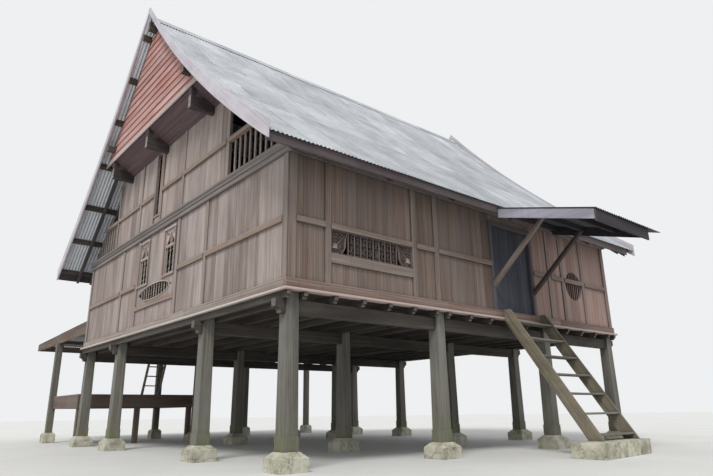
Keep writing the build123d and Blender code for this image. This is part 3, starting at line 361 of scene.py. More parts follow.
# Rectangular openings as left, right, foot and top, and the others as centre, height and radii
CARVED, REAR_CARVED = (0.650, 2.430, 3.140, 3.525), (6.680, 8.460, 3.650, 4.035)
HATCH = (5.080, 5.450, 5.075, 6.605)
TALL_WIDTH, TALL_Z = 0.520, (3.540, 4.520)
TALL_SPANS = [(place - TALL_WIDTH / 2, place + TALL_WIDTH / 2) for place in (4.350, 5.790)]
ROUND, OVAL = (7.720, 3.485, 0.330, 0.330), (5.094, 3.305, 0.842, 0.158)
# Where the rails round the tall windows are pale casings: along the wall, then up
CASING_Y, CASING_Z = (4.0, 6.1), (3.45, 4.60)
# The roof's three courses of sheets on each side: length on plan, and pitch in degrees
COURSES = ((1.900, 45.3), (1.880, 42.6), (1.860, 40.3))
# Pitches of what else slopes. The grain of rafters and bargeboards takes one pitch for the whole curve
ROOF_GRAIN, STRUT_PITCH, STAIR_PITCH = 43, 45, 56.3
# Between boards, between butted mouldings, and between the samples of a board that is cut to a curve
BOARD_GAP, BUTT, CURVE_STEP = 0.003, 0.0006, 0.008
# Corrugations, from crest to crest, and half their height, and how far the sheets are dented
WAVE, WAVE_DEPTH, DENTS = 0.076, 0.0095, 0.0022
# A baluster's profile: shares of its height, with shares of its radius there
BALUSTER = [(0.0, 0.75), (0.05, 0.75), (0.07, 0.45), (0.10, 0.45), (0.13, 0.85), (0.17, 0.95), (0.20, 0.60),
            (0.24, 0.42), (0.34, 0.62), (0.44, 0.82), (0.48, 0.50), (0.50, 0.95), (0.52, 0.50), (0.56, 0.82),
            (0.66, 0.62), (0.76, 0.42), (0.80, 0.60), (0.83, 0.95), (0.87, 0.85), (0.90, 0.45), (0.93, 0.45),
            (0.95, 0.75), (1.0, 0.75)]


# Which pieces of the frame are of which material
DRESS = {
    "post": "outer_posts inner_posts back_posts king_posts",
    "frame": "floor_bearers floor_joists wall_plates ridge_beam purlins cross_ties",
    "beam": "attic_beams screen_beams",
    "deck": "back_roof_frame deck_boards deck_frame",
    "floor": "floor_boards",
    "sill": "sill_boards",
    "band": "tie_band",
    "wall_front": "front_wall_left front_wall_over_door rear_wall",
    "wall_front_right": "front_wall_right",
    "wall_side": "left_wall right_wall gable_walls",
    "batten": "front_battens rear_battens",
    "batten_side": "side_battens gable_slats",
    "rail_side": "wall_rails",
    "rafter": "rafters",
    "fascia": "eave_fascias",
    "barge": "bargeboards",
    "screen": "gable_screens",
    "screen_trim": "screen_trim",
    "soffit": "gable_soffits",
    "door": "door_leaf_left door_leaf_right rear_door",
    "door_frame": "door_frame",
    "porch_side": "porch_frame",
    "strut": "porch_struts",
    "stair": "stair_stringers back_ladder",
    "tread": "stair_treads",
    "roof": "front_roof rear_roof ridge_cap",
    "low_roof": "porch_roof back_roof",
    "concrete": "footings stair_slab",
}


def extent(corners):
    """Size of the box round some points, along each axis."""
    return [max(c[i] for c in corners) - min(c[i] for c in corners) for i in range(3)]


def loose_pieces(mesh):
    """Polygons of a mesh in groups that share places, one group for each separate piece."""
    places = {}
    parent = list(range(len(mesh.polygons)))

    def root(i):
        while parent[i] != i:
            parent[i] = parent[parent[i]]
            i = parent[i]
        return i

    for polygon in mesh.polygons:
        for index in polygon.vertices:
            place = tuple(round(value, 4) for value in mesh.vertices[index].co)
            other = places.setdefault(place, polygon.index)
            parent[root(polygon.index)] = root(other)
    groups = {}
    for polygon in mesh.polygons:
        groups.setdefault(root(polygon.index), []).append(polygon)
    return list(groups.values())


def slope_of(node_name, polygon):
    """Degrees that the grain of a sloping piece is turned about X."""
    if node_name in ("rafters", "bargeboards"):
        return -ROOF_GRAIN if polygon.center.y < RIDGE_Y else ROOF_GRAIN
    return {"porch_struts": STRUT_PITCH, "stair_stringers": -round(STAIR_PITCH)}.get(node_name, 0)


def long_way(mesh, polygon, otherwise):
    """The axis that a long, narrow face runs along, or that of the whole piece for any other face."""
    size = extent([mesh.vertices[index].co for index in polygon.vertices])
    longest, second = sorted(size, reverse=True)[:2]
    return "xyz"[size.index(longest)] if longest > 0.3 and longest > 2 * second else otherwise


def inside(value, span):
    return span[0] < value < span[1]


def dress(node_name, kind):
    """Gives each loose piece of a node wood with its grain the long way, and some kinds three shades."""
    mesh = NODES[node_name].data
    mesh.materials.clear()
    if kind not in WOODS:
        mesh.materials.append(MATERIALS[kind])
        return
    dice = random.Random(node_name)
    slots = {}
    for group in loose_pieces(mesh):
        corners = [mesh.vertices[index].co for polygon in group for index in polygon.vertices]
        size = extent(corners)
        grain = "xyz"[size.index(max(size))]
        shade = dice.choice((-1, 0, 1)) if kind in ("post", "frame", "rafter") else 0
        middle = Vector([sum(c[i] for c in corners) / len(corners) for i in range(3)])
        own_kind = kind
        if node_name == "wall_rails" and grain == "x":
            own_kind = "rail"
        elif node_name == "wall_rails" and inside(middle.z, CASING_Z) and inside(middle.y, CASING_Y):
            own_kind = "casing"
        elif node_name == "porch_struts" and middle.x > sum(DOORWAY) / 2:
            own_kind = "strut_dark"
        for polygon in group:
            slope = slope_of(node_name, polygon)
            material = wood(own_kind, "y" if slope else long_way(mesh, polygon, grain), slope, shade)
            if material.name not in slots:
                slots[material.name] = len(mesh.materials)
                mesh.materials.append(material)
            polygon.material_index = slots[material.name]


for kind, node_names in DRESS.items():
    for node_name in node_names.split():
        dress(node_name, kind)


def roof_z(run, drop=0.0):
    """Height of the roof line at a distance from the ridge."""
    z = RIDGE_Z
    for length, pitch in COURSES:
        step = min(run, length)
        z -= step * math.tan(math.radians(pitch))
        run -= step
    return z - drop


def roof_run(z, drop=0.0):
    """Distance from the ridge at which the roof line comes to a height."""
    run, fall = 0.0, RIDGE_Z - drop - z
    for length, pitch in COURSES:
        slope = math.tan(math.radians(pitch))
        step = min(fall / slope, length)
        run += step
        fall -= step * slope
    return run


def spot(side, along, out, z):
    """A point on one side of the house, out from the face of its posts."""
    if side == "front":
        return (along, FRONT - out, z)
    if side == "rear":
        return (along, REAR + out, z)
    return (LEFT - out if side == "left" else RIGHT + out, along, z)


def rectangle(a0, a1, z0, z1):
    return [(a0, z0), (a1, z0), (a1, z1), (a0, z1)]


class Pieces:
    """Boards and turned parts that are joined into one mesh, each with a tone of its own.

    Kind is the number of a part's material in the list that build is given.
    """

    def __init__(self, seed):
        self.verts, self.faces, self.tones, self.kinds = [], [], [], []
        self.dice = random.Random(seed)

    def tone(self):
        return self.dice.uniform(-0.5, 0.5)

    def add(self, verts, faces, tone=None, kind=0):
        start = len(self.verts)
        tone = self.tone() if tone is None else tone
        self.verts += [tuple(v) for v in verts]
        self.faces += [tuple(start + i for i in face) for face in faces]
        self.tones += [tone] * len(verts)
        self.kinds += [kind] * len(faces)

    def tube(self, rings, kind=0):
        """Rings of points joined one to the next, and closed at both ends."""
        count = len(rings[0])
        faces = []
        for r in range(len(rings) - 1):
            for i in range(count):
                j = (i + 1) % count
                faces.append((r * count + i, r * count + j, (r + 1) * count + j, (r + 1) * count + i))
        faces.append(tuple(range(count)))
        faces.append(tuple((len(rings) - 1) * count + i for i in range(count)))
        self.add([point for ring in rings for point in ring], faces, kind=kind)

    def plank(self, low, high, chamfer=0.003, bow=0.0, rings=2):
        """A squared board along X, its long edges eased and its middle a little out of line."""
        (x0, y0, z0), (x1, y1, z1), c = low, high, chamfer
        section = [(y0 + c, z0), (y1 - c, z0), (y1, z0 + c), (y1, z1 - c),
                   (y1 - c, z1), (y0 + c, z1), (y0, z1 - c), (y0, z0 + c)]
        dy, dz = self.dice.uniform(-bow, bow), self.dice.uniform(-bow, bow)
        circuits = []
        for r in range(rings):
            t = r / (rings - 1)
            swing = math.sin(math.pi * t)
            circuits.append([(x0 + (x1 - x0) * t, y + dy * swing, z + dz * swing) for y, z in section])
        self.tube(circuits)

    def slab(self, side, outline, out, kind=0):
        """An outline in the plane of a wall, given as (along, z) points, as thick as out says."""
        self.tube([[spot(side, a, o, z) for a, z in outline] for o in out], kind)

    def strip(self, outline, x_low, x_high, kind=0):
        """An outline of (y, z) points run along X."""
        self.tube([[(x, y, z) for y, z in outline] for x in (x_low, x_high)], kind)

    def mouldings(self, side, start, joints, end, profile, kind=0):
        """A profile of (out, z) points run along a wall, in lengths that butt at the joints."""
        for a0, a1 in pairwise((start, *joints, end)):
            span = (a0 + BUTT, a1 - BUTT)
            self.tube([[spot(side, a, o, z) for o, z in profile] for a in span], kind)

    def upright(self, side, span, out, low, high, samples=1, rings=2, chamfer=0.0035, tone=None, kind=0,
                warp=0.0015):
        """An upright wall board. Its foot and its top may be curves, given as functions of the place."""
        a0, a1 = span
        low = low if callable(low) else (lambda a, value=low: value)
        high = high if callable(high) else (lambda a, value=high: value)
        inner = [a0 + (a1 - a0) * i / samples for i in range(1, samples)]
        face = out[1]
        stations = [(a0, face - chamfer), (a0 + chamfer, face)] + [(a, face) for a in inner]
        stations += [(a1 - chamfer, face), (a1, face - chamfer)]
        bow, cup = self.dice.uniform(-warp, warp), self.dice.uniform(-warp, warp)
        middle, half = (a0 + a1) / 2, (a1 - a0) / 2
        count = len(stations)
        verts = []
        for r in range(rings):
            t = r / (rings - 1)
            swing = bow * math.sin(math.pi * t)
            for a, o in stations:
                z = low(a) * (1 - t) + high(a) * t
                verts.append(spot(side, a, o + swing + cup * ((a - middle) / half) ** 2, z))
            for a, o in stations:
                verts.append(spot(side, a, out[0], low(a) * (1 - t) + high(a) * t))
        faces = []
        step = 2 * count
        for r in range(rings - 1):
            for i in range(count - 1):
                f = r * step + i
                faces.append((f, f + 1, f + 1 + step, f + step))
                b = f + count
                faces.append((b, b + step, b + 1 + step, b + 1))
            for i in (0, count - 1):
                f = r * step + i
                faces.append((f, f + count, f + count + step, f + step))
        last = (rings - 1) * step
        for i in range(count - 1):
            faces.append((i, i + 1, i + 1 + count, i + count))
            faces.append((last + i, last + i + 1, last + i + 1 + count, last + i + count))
        self.add(verts, faces, tone, kind)

    def wall(self, side, edges, low, high, holes=(), kind=0, out=(0, WALL)):
        """Upright boards between the edges. A hole is its span, then its lower and its upper edge."""
        for a0, a1 in pairwise(edges):
            span = (a0 + BOARD_GAP / 2, a1 - BOARD_GAP / 2)
            thick = (out[0], out[1] - self.dice.uniform(0.0, 0.003))
            tone = self.tone()
            curved = max(1, round((a1 - a0) / CURVE_STEP))
            foot = low
            for (h0, h1), under, over in holes:
                if h1 <= span[0] + 0.001 or h0 >= span[1] - 0.001:
                    continue
                samples = curved if callable(under) else 1
                self.upright(side, span, thick, foot, under, samples, 3, tone=tone, kind=kind, warp=0.0008)
                foot = over
            samples = curved if callable(foot) else 3 if callable(high) else 1
            self.upright(side, span, thick, foot, high, samples, 5, tone=tone, kind=kind)

    def turned(self, side, along, out, z0, z1, radius, kind=0, segments=10):
        """A turned baluster."""
        rings = []
        for t, share in BALUSTER:
            r, z = radius * share, z0 + (z1 - z0) * t
            ring = []
            for k in range(segments):
                angle = 2 * math.pi * k / segments
                ring.append(spot(side, along + r * math.cos(angle), out + r * math.sin(angle), z))
            rings.append(ring)
        self.tube(rings, kind)

    def rim(self, side, centre, inner, outer, out, steps=64):
        """A flat oval ring, each radius given along and up."""
        verts, faces = [], []
        for k in range(steps):
            angle = 2 * math.pi * k / steps
            c, s = math.cos(angle), math.sin(angle)
            for (ra, rz), o in ((inner, out[0]), (outer, out[0]), (outer, out[1] - 0.003), (inner, out[1])):
                verts.append(spot(side, centre[0] + ra * c, o, centre[1] + rz * s))
        for k in range(steps):
            n = (k + 1) % steps
            for i in range(4):
                j = (i + 1) % 4
                faces.append((k * 4 + i, k * 4 + j, n * 4 + j, n * 4 + i))
        self.add(verts, faces)

    def ribbon(self, side, points, width, out, kind=0):
        """A carved band along a line of (along, z) points, narrower at its ends."""
        rings = []
        count = len(points)
        for i, (a, z) in enumerate(points):
            before, after = points[max(i - 1, 0)], points[min(i + 1, count - 1)]
            da, dz = after[0] - before[0], after[1] - before[1]
            length = math.hypot(da, dz) or 1.0
            t = i / (count - 1)
            w = width * (0.45 + 0.55 * math.sin(math.pi * min(max(t, 0.06), 0.94))) / 2
            na, nz = -dz / length * w, da / length * w
            rings.append([spot(side, a + na * share, o, z + nz * share)
                          for share, o in ((1, out[0]), (-1, out[0]), (-0.6, out[1]), (0.6, out[1]))])
        self.tube(rings, kind)

    def sheet(self, x_range, top, bottom, lift, phase, rows=4):
        """A corrugated sheet between two ends, top and bottom, given as (y, z) points of its middle line."""
        (yt, zt), (yb, zb) = top, bottom
        length = math.hypot(yb - yt, zb - zt)
        dy, dz = (yb - yt) / length, (zb - zt) / length
        ny, nz = (-dz, dy) if dy > 0 else (dz, -dy)
        columns = round((x_range[1] - x_range[0]) / WAVE * 8)
        sway = self.dice.uniform(0, 50)
        verts = []
        for half in (0.0005, -0.0005):
            for r in range(rows):
                t = r / (rows - 1)
                for c in range(columns + 1):
                    x = x_range[0] + (x_range[1] - x_range[0]) * c / columns
                    wave = WAVE_DEPTH * math.cos(2 * math.pi * (x - phase) / WAVE)
                    h = wave + lift[0] * (1 - t) + lift[1] * t + half
                    # Old sheets aren't quite flat
                    h += DENTS * noise.noise((x * 1.1 + sway, t * 2.0, sway))
                    verts.append((x, yt + (yb - yt) * t + ny * h, zt + (zb - zt) * t + nz * h))
        width = columns + 1
        layer = rows * width
        faces = []
        for r in range(rows - 1):
            for c in range(columns):
                i = r * width + c
                faces.append((i, i + 1, i + 1 + width, i + width))
                faces.append((layer + i, layer + i + width, layer + i + 1 + width, layer + i + 1))
            for c in (0, columns):
                i = r * width + c
                faces.append((i, i + width, layer + i + width, layer + i))
        for r in (0, rows - 1):
            for c in range(columns):
                i = r * width + c
                faces.append((i, layer + i, layer + i + 1, i + 1))
        self.add(verts, faces)

    def nail(self, base, normal, radius=0.007, height=0.004):
        """A low six-sided nail head."""
        side = normal.cross(Vector((1, 0, 0))).normalized()
        other = normal.cross(side)
        ring = []
        for k in range(6):
            angle = math.pi * k / 3
            ring.append(base + radius * (math.cos(angle) * side + math.sin(angle) * other))
        faces = [(i, (i + 1) % 6, 6) for i in range(6)] + [(5, 4, 3, 2, 1, 0)]
        self.add(ring + [base + normal * height], faces)

    def build(self, name, materials, slot, nodes="", smooth=None):
        """Makes the mesh. Each material is a name, or a kind of wood and the axis of its grain."""
        mesh = bpy.data.meshes.new(name)
        mesh.from_pydata(self.verts, [], self.faces)
        form = bmesh.new()
        form.from_mesh(mesh)
        bmesh.ops.recalc_face_normals(form, faces=form.faces)
        form.to_mesh(mesh)
        form.free()
        mesh.attributes.new("tone", "FLOAT", "POINT").data.foreach_set("value", self.tones)
        for material in materials:
            mesh.materials.append(wood(*material.split()) if " " in material else MATERIALS[material])
        mesh.polygons.foreach_set("material_index", self.kinds)
        if smooth:
            mesh.shade_smooth()
            mesh.set_sharp_from_angle(angle=math.radians(smooth))
        piece = bpy.data.objects.new(name, mesh)
        bpy.context.scene.collection.objects.link(piece)
        if nodes:
            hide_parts(*nodes.split())
        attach(piece, "house")


def board_edges(seed, start, end, width, fixed=()):
    """Edges of boards of about one width that also meet at the fixed places."""
    dice = random.Random(seed)
    edges = [start]
    for a, b in pairwise([start] + sorted(place for place in fixed if start < place < end) + [end]):
        shares = [dice.uniform(0.8, 1.2) for _ in range(max(1, round((b - a) / width)))]
        total = sum(shares)
        for share in shares:
            edges.append(edges[-1] + (b - a) * share / total)
        edges[-1] = b
    return edges


def oval_hole(centre, height, radius_a, radius_z):
    """The span of an oval, then its lower and its upper edge as functions of the place along the wall."""
    def rise(a):
        return radius_z * math.sqrt(max(0.0, 1 - ((a - centre) / radius_a) ** 2))
    return ((centre - radius_a, centre + radius_a), lambda a: height - rise(a), lambda a: height + rise(a))


def plain_hole(a0, a1, z0, z1):
    return ((a0, a1), z0, z1)


# Walls of upright boards, which meet behind the battens
FRONT_EDGES = [LEFT - WALL, 0.12, 0.330, 0.650, 0.895, 1.196, 1.611, 2.030, 2.430, 2.760, 3.110, 3.480, 3.845,
               4.180, 4.440, DOORWAY[0]]
RIGHT_BATTENS, GABLE_BATTENS = (6.730, 7.260, 8.130), (3.900, 6.350)
SIDE_BATTENS = (2.630, 3.920, 6.150, 7.200)
front = Pieces(11)
front.wall("front", FRONT_EDGES, SILL_TOP, WALL_TOP, [plain_hole(*CARVED)])
# Right of the door the boards are of the lighter front wood, which is painted light
front.wall("front", board_edges(12, DOORWAY[1], RIGHT + WALL, 0.27, RIGHT_BATTENS), SILL_TOP, WALL_TOP,
           [oval_hole(*ROUND)], kind=1)
front.wall("front", board_edges(13, *DOORWAY, 0.25), DOOR_HEAD, WALL_TOP)
front.build("front_wall_boards", ["wall_front z", "wall_front_right z"], "wall_wood",
            "front_wall_left front_wall_right front_wall_over_door")

sides = Pieces(21)
for side, seed in (("left", 22), ("right", 23)):
    fixed = SIDE_BATTENS + TALL_SPANS[0] + TALL_SPANS[1]
    holes = [oval_hole(*OVAL)] + [plain_hole(*span, *TALL_Z) for span in TALL_SPANS]
    sides.wall(side, board_edges(seed, FRONT, REAR, 0.38, fixed), SILL_TOP, WALL_TOP, holes)
sides.build("side_wall_boards", ["wall_side z"], "wall_wood", "left_wall right_wall")

rear = Pieces(31)
rear_edges = board_edges(32, LEFT - WALL, RIGHT + WALL, 0.28, REAR_HATCH[:2] + REAR_CARVED[:2])
rear.wall("rear", rear_edges, SILL_TOP, WALL_TOP, [plain_hole(*REAR_HATCH), plain_hole(*REAR_CARVED)])
rear.build("rear_wall_boards", ["wall_front z"], "wall_wood", "rear_wall")


def gable_head(y):
    """Top of a gable wall board, under the rafters."""
    return min(GABLE_TOP, roof_z(abs(y - RIDGE_Y), 0.280))


gables = Pieces(41)
for side, seed in (("left", 42), ("right", 43)):
    edges = board_edges(seed, *GABLE_ENDS, 0.35, GABLE_BATTENS + HATCH[:2])
    gables.wall(side, edges, GABLE_FOOT, gable_head, [plain_hole(*HATCH)])
gables.build("gable_wall_boards", ["wall_side z"], "wall_wood", "gable_walls")

# Lapped boards of the gable screens. Their butt joints are upright, and only the outer ends follow the slope
SCREEN_DROP, SCREEN_LAP, SCREEN_BACK, SCREEN_BOARDS = 0.134, 0.012, 0.030, (0.175, 0.200)
screens = Pieces(51)
screen_low, screen_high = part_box("gable_screens")
for inner, outward in ((screen_low[0] + SCREEN_BACK, -1), (screen_high[0] - SCREEN_BACK, 1)):
    z = screen_low[2]
    while z < screen_high[2] - 0.06:
        height = screens.dice.uniform(*SCREEN_BOARDS)
        top = min(z + height + SCREEN_LAP, screen_high[2] - 0.004)
        half_low, half_high = roof_run(z, SCREEN_DROP), roof_run(top, SCREEN_DROP)
        cuts = [-1.0, screens.dice.uniform(-0.6, 0.6), 1.0] if half_low > 1.4 else [-1.0, 1.0]
        for ends in pairwise(cuts):
            lean = screens.dice.uniform(-0.002, 0.002)
            rings = []
            for cut, ease in zip(ends, (0.0008, -0.0008)):
                y_low = RIDGE_Y + half_low * cut + ease
                y_high = RIDGE_Y + (half_high if abs(cut) == 1 else half_low) * cut + ease
                rings.append([(inner, y_low, z), (inner + outward * (0.042 + lean), y_low, z),
                              (inner + outward * (0.044 + lean), y_low, z + 0.010),
                              (inner + outward * 0.020, y_high, top), (inner, y_high, top)])
            screens.tube(rings)
        z += height
screens.build("gable_screen_boards", ["screen y"], "screen_wood", "gable_screens")

# Floor planks, cut round the posts
POST_X, POST_Y, HALF_POST = (0.0, 3.130, 6.450, 9.110), (0.0, 2.680, 7.200, 9.640), 0.100
PLANK_GAP = 0.001
PLANK_JOINTS = [1.2, 1.8, 2.4, 3.6, 4.2, 4.8, 5.4, 6.6, 7.2, 7.8]
floor_low, floor_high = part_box("floor_boards")
planks = Pieces(61)


def floor_plank(x0, x1, y0, y1, drop=0.0):
    planks.plank((x0 + PLANK_GAP, y0 + PLANK_GAP, floor_low[2]),
                 (x1 - PLANK_GAP, y1 - PLANK_GAP, floor_high[2] - drop))


between_posts = [(a + HALF_POST, b - HALF_POST) for a, b in pairwise(POST_X)]
for row, next_row in zip(POST_Y, POST_Y[1:] + (None,)):
    for x0, x1 in between_posts:
        floor_plank(x0, x1, row - HALF_POST, row + HALF_POST)
    if next_row is None:
        continue
    for y0, y1 in pairwise(board_edges(int(row * 10), row + HALF_POST, next_row - HALF_POST, 0.18)):
        joints = sorted(planks.dice.sample(PLANK_JOINTS, 2))
        for x0, x1 in pairwise([LEFT] + joints + [RIGHT]):
            floor_plank(x0, x1, y0, y1, planks.dice.uniform(0, 0.002))
planks.build("floor_planks", ["floor x"], "floor_wood", "floor_boards")

# Deck planks, with ends a little out of line
DECK_GAP = 0.003
deck_low, deck_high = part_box("deck_boards")
deck = Pieces(62)
for y0, y1 in pairwise(board_edges(63, deck_low[1], deck_high[1], 0.145)):
    x0, x1 = deck_low[0] + deck.dice.uniform(0, 0.012), deck_high[0] - deck.dice.uniform(0, 0.012)
    top = deck_high[2] - deck.dice.uniform(0, 0.002)
    deck.plank((x0, y0 + DECK_GAP, deck_low[2]), (x1, y1 - DECK_GAP, top), 0.004, 0.001, 5)
deck.build("deck_planks", ["deck x"], "deck_wood", "deck_boards")

# Stair treads, worn in the middle of the nosing
TREADS, TREAD_RISE, FIRST_TREAD, TREAD_DEPTH, TREAD_THICK = 7, 0.343, 0.360, 0.230, 0.035
STAIR_FOOT_Y, STAIR_FOOT_Z = -1.950, 0.250
treads = Pieces(64)
tread_low, tread_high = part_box("stair_treads")
for step in range(TREADS):
    top = FIRST_TREAD + step * TREAD_RISE
    nose = STAIR_FOOT_Y + (top - STAIR_FOOT_Z) / math.tan(math.radians(STAIR_PITCH))
    rings = []
    for i in range(9):
        t = i / 8
        x = tread_low[0] + (tread_high[0] - tread_low[0]) * t
        worn = 0.006 * math.sin(math.pi * t) ** 2
        rings.append([(x, nose + 0.005 + worn, top - TREAD_THICK), (x, nose + worn, top - 0.028),
                      (x, nose + worn, top - 0.010), (x, nose + 0.008 + worn, top - worn * 0.6),
                      (x, nose + 0.120, top - worn * 0.4), (x, nose + TREAD_DEPTH - 0.003, top),
                      (x, nose + TREAD_DEPTH, top - 0.003), (x, nose + TREAD_DEPTH, top - TREAD_THICK)])
    treads.tube(rings)
treads.build("stair_tread_boards", ["tread x"], "stair_wood", "stair_treads")


# Sill boards with a ledge, and the moulded band round the wall tops
def raised(z, *points):
    """Profile points whose heights are given from z."""
    return [(out, z + up) for out, up in points]


SILL_Z, BAND_TOP, FRONT_BAND_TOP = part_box("sill_boards")[0][2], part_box("tie_band")[1][2], 4.710
LEDGE_TOP = SILL_Z + 0.040
SILL_OUT, LEDGE_OUT, BAND_OUT = 0.080, 0.130, 0.125
SILL = [(0, LEDGE_TOP), (SILL_OUT, LEDGE_TOP)]
SILL += raised(SILL_TOP, (SILL_OUT, -0.045), (0.074, -0.038), (0.074, -0.030), (SILL_OUT, -0.024),
               (SILL_OUT, -0.006), (0.070, 0), (0, 0))
LEDGE = raised(SILL_Z, (0, 0), (0.122, 0), (LEDGE_OUT, 0.008))
LEDGE += raised(LEDGE_TOP, (LEDGE_OUT, -0.010), (0.120, 0), (0, 0))
BAND_FOOT = raised(WALL_TOP, (0, 0), (0.086, 0), (0.090, 0.006))
BAND = BAND_FOOT + raised(WALL_TOP, (0.090, 0.070), (0.074, 0.078), (0.074, 0.094), (0.094, 0.102))
BAND += raised(BAND_TOP, (0.094, -0.060), (0.108, -0.050), (BAND_OUT, -0.036), (BAND_OUT, -0.004),
               (0.120, 0), (0, 0))
FRONT_BAND = BAND_FOOT + raised(FRONT_BAND_TOP, (0.090, -0.050), (0.108, -0.042), (BAND_OUT, -0.030),
                                (BAND_OUT, 0), (0, 0))
sills, band = Pieces(71), Pieces(72)
for side in ("front", "rear", "left", "right"):
    if side in ("front", "rear"):
        # These two sides run past the corners
        joints, kind = (3.300, 6.930), 0
        sill_ends, ledge_ends = (LEFT - SILL_OUT, RIGHT + SILL_OUT), (LEFT - LEDGE_OUT, RIGHT + LEDGE_OUT)
        band_ends = (LEFT, RIGHT)
    else:
        joints, kind = (3.350, 6.480), 1
        sill_ends = ledge_ends = (FRONT, REAR)
        band_ends = (FRONT - BAND_OUT, REAR + BAND_OUT)
    sills.mouldings(side, sill_ends[0], joints, sill_ends[1], SILL, kind)
    sills.mouldings(side, ledge_ends[0], joints, ledge_ends[1], LEDGE, kind + 2)
    band.mouldings(side, band_ends[0], joints, band_ends[1], FRONT_BAND if side == "front" else BAND, kind)
sills.build("sill_and_ledge", ["sill x", "sill_side y", "ledge x", "ledge_side y"], "ledge_wood",
            "sill_boards")
band.build("moulded_band", ["band x", "band y"], "ledge_wood", "tie_band")

# Porch boards: the left side board pale; the front board, the right side board and the bars below dark, as
# painted shade
PORCH_TOP, PORCH_FALL, PORCH_REACH = 4.550, 0.540, 1.950
PORCH_BOARD, PORCH_SIDE_FOOT, PORCH_FRONT_FOOT, PORCH_BAR_FOOT = 0.035, 0.210, 0.250, 0.140
UNDER_SHEETS, PORCH_BAR, PORCH_BEAM_OUT = 0.030, 0.070, 1.230
porch_low, porch_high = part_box("porch_frame")
PORCH_BACK = porch_high[1]


def porch_line(y, drop):
    return PORCH_TOP - PORCH_FALL * (PORCH_BACK - y) / PORCH_REACH - drop


def porch_outline(y0, y1, foot):
    """A board's side, from just under the sheets down to its foot."""
    return [(y1, porch_line(y1, UNDER_SHEETS)), (y0, porch_line(y0, UNDER_SHEETS)),
            (y0, porch_line(y0, foot)), (y1, porch_line(y1, foot))]


porch = Pieces(81)
porch_front = porch_low[1] + PORCH_BOARD
for kind, x in ((0, porch_low[0]), (2, porch_high[0] - PORCH_BOARD)):
    porch.strip(porch_outline(porch_front, PORCH_BACK, PORCH_SIDE_FOOT), x, x + PORCH_BOARD, kind)
porch.strip(porch_outline(porch_low[1], porch_front, PORCH_FRONT_FOOT), porch_low[0], porch_high[0], 1)
beam_y = FRONT - PORCH_BEAM_OUT
for y in (PORCH_BACK - PORCH_BAR, beam_y, (beam_y + porch_low[1]) / 2):
    porch.strip(porch_outline(y - PORCH_BAR, y, PORCH_BAR_FOOT), porch_low[0] + PORCH_BOARD,
                porch_high[0] - PORCH_BOARD, 1)
porch.build("porch_boards", ["porch_side y", "porch_dark x", "porch_dark y"], "porch_wood", "porch_frame")

# Corrugated sheets
SHEET_WIDTH = 10 * WAVE
PURLIN_RUNS = (0.330, 1.100, 1.900, 2.840, 3.780, 4.640, 5.480)
ROOF_MIDDLE, PORCH_MIDDLE, BACK_MIDDLE = 0.0285, 0.0190, 0.0185
# How far a roof sheet goes under the course above and over the one below, and how uneven its foot is
UNDER_LAP, OVER_LAP, UNEVEN, RIDGE_GAP = 0.12, 0.030, 0.014, 0.015
SHEET_SMOOTH = 35


def laps(start, end):
    """Sheets side by side, each a corrugation over the next: its span, and how far it is lifted."""
    x, number = start, 0
    while x < end - 0.05:
        yield (x, min(x + SHEET_WIDTH + WAVE, end)), 0.0016 * (number % 2)
        x += SHEET_WIDTH
        number += 1


for node, slope, seed in (("front_roof", -1, 91), ("rear_roof", 1, 92)):
    roof = Pieces(seed)
    start = 0.0
    for course, (length, pitch) in enumerate(COURSES):
        fall = math.tan(math.radians(pitch))
        head = roof_z(start)
        last = course == len(COURSES) - 1
        for span, over in laps(*VERGES):
            run_top = start - UNDER_LAP if course else RIDGE_GAP
            run_low = start + length + (-0.002 if last else OVER_LAP) - roof.dice.uniform(0.0, UNEVEN)
            ends = [(RIDGE_Y + slope * run, head - (run - start) * fall - ROOF_MIDDLE)
                    for run in (run_top, run_low)]
            roof.sheet(span, *ends, (over, over + (0.0 if last else 0.005)), VERGES[0])
        start += length
    for run in PURLIN_RUNS:
        crest = VERGES[0] + WAVE * (2 if run < 3 else 1)
        base = roof_z(run, ROOF_MIDDLE)
        ahead = roof_z(run + 0.01, ROOF_MIDDLE)
        normal = Vector((0, slope * (base - ahead), 0.01)).normalized()
        while crest < VERGES[1] - 0.02:
            roof.nail(Vector((crest, RIDGE_Y + slope * run, base)) + normal * (WAVE_DEPTH + 0.001), normal)
            crest += 2 * WAVE
    roof.build(node + "_sheets", ["roof"], "roof_metal", node, smooth=SHEET_SMOOTH)

porch_sheets = Pieces(93)
sheets_low, sheets_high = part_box("porch_roof")
for span, over in laps(sheets_low[0], sheets_high[0]):
    ends = (sheets_high[1], sheets_low[1] + porch_sheets.dice.uniform(0.004, 0.022))
    porch_sheets.sheet(span, *[(y, porch_line(y, PORCH_MIDDLE)) for y in ends], (over, over), sheets_low[0])
porch_sheets.build("porch_sheets", ["low_roof"], "roof_metal", "porch_roof", smooth=SHEET_SMOOTH)

BACK_TOP, BACK_FALL, BACK_LAP = 3.255, 0.137, 0.10
back = Pieces(94)
back_low, back_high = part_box("back_roof")


def back_line(y):
    return BACK_TOP - BACK_FALL * (y - back_low[1]) / (back_high[1] - back_low[1]) - BACK_MIDDLE


middle = (back_low[1] + back_high[1]) / 2
for y0, y1, lift in ((back_low[1], middle + BACK_LAP, (0.0, 0.003)),
                     (middle - BACK_LAP, back_high[1], (-0.0025, 0.0))):
    for span, over in laps(back_low[0], back_high[0]):
        end = y1 - back.dice.uniform(0, 0.02)
        lifts = (lift[0] + over, lift[1] + over)
        back.sheet(span, (y0, back_line(y0)), (end, back_line(end)), lifts, back_low[0])
back.build("back_roof_sheets", ["low_roof"], "roof_metal", "back_roof", smooth=SHEET_SMOOTH)

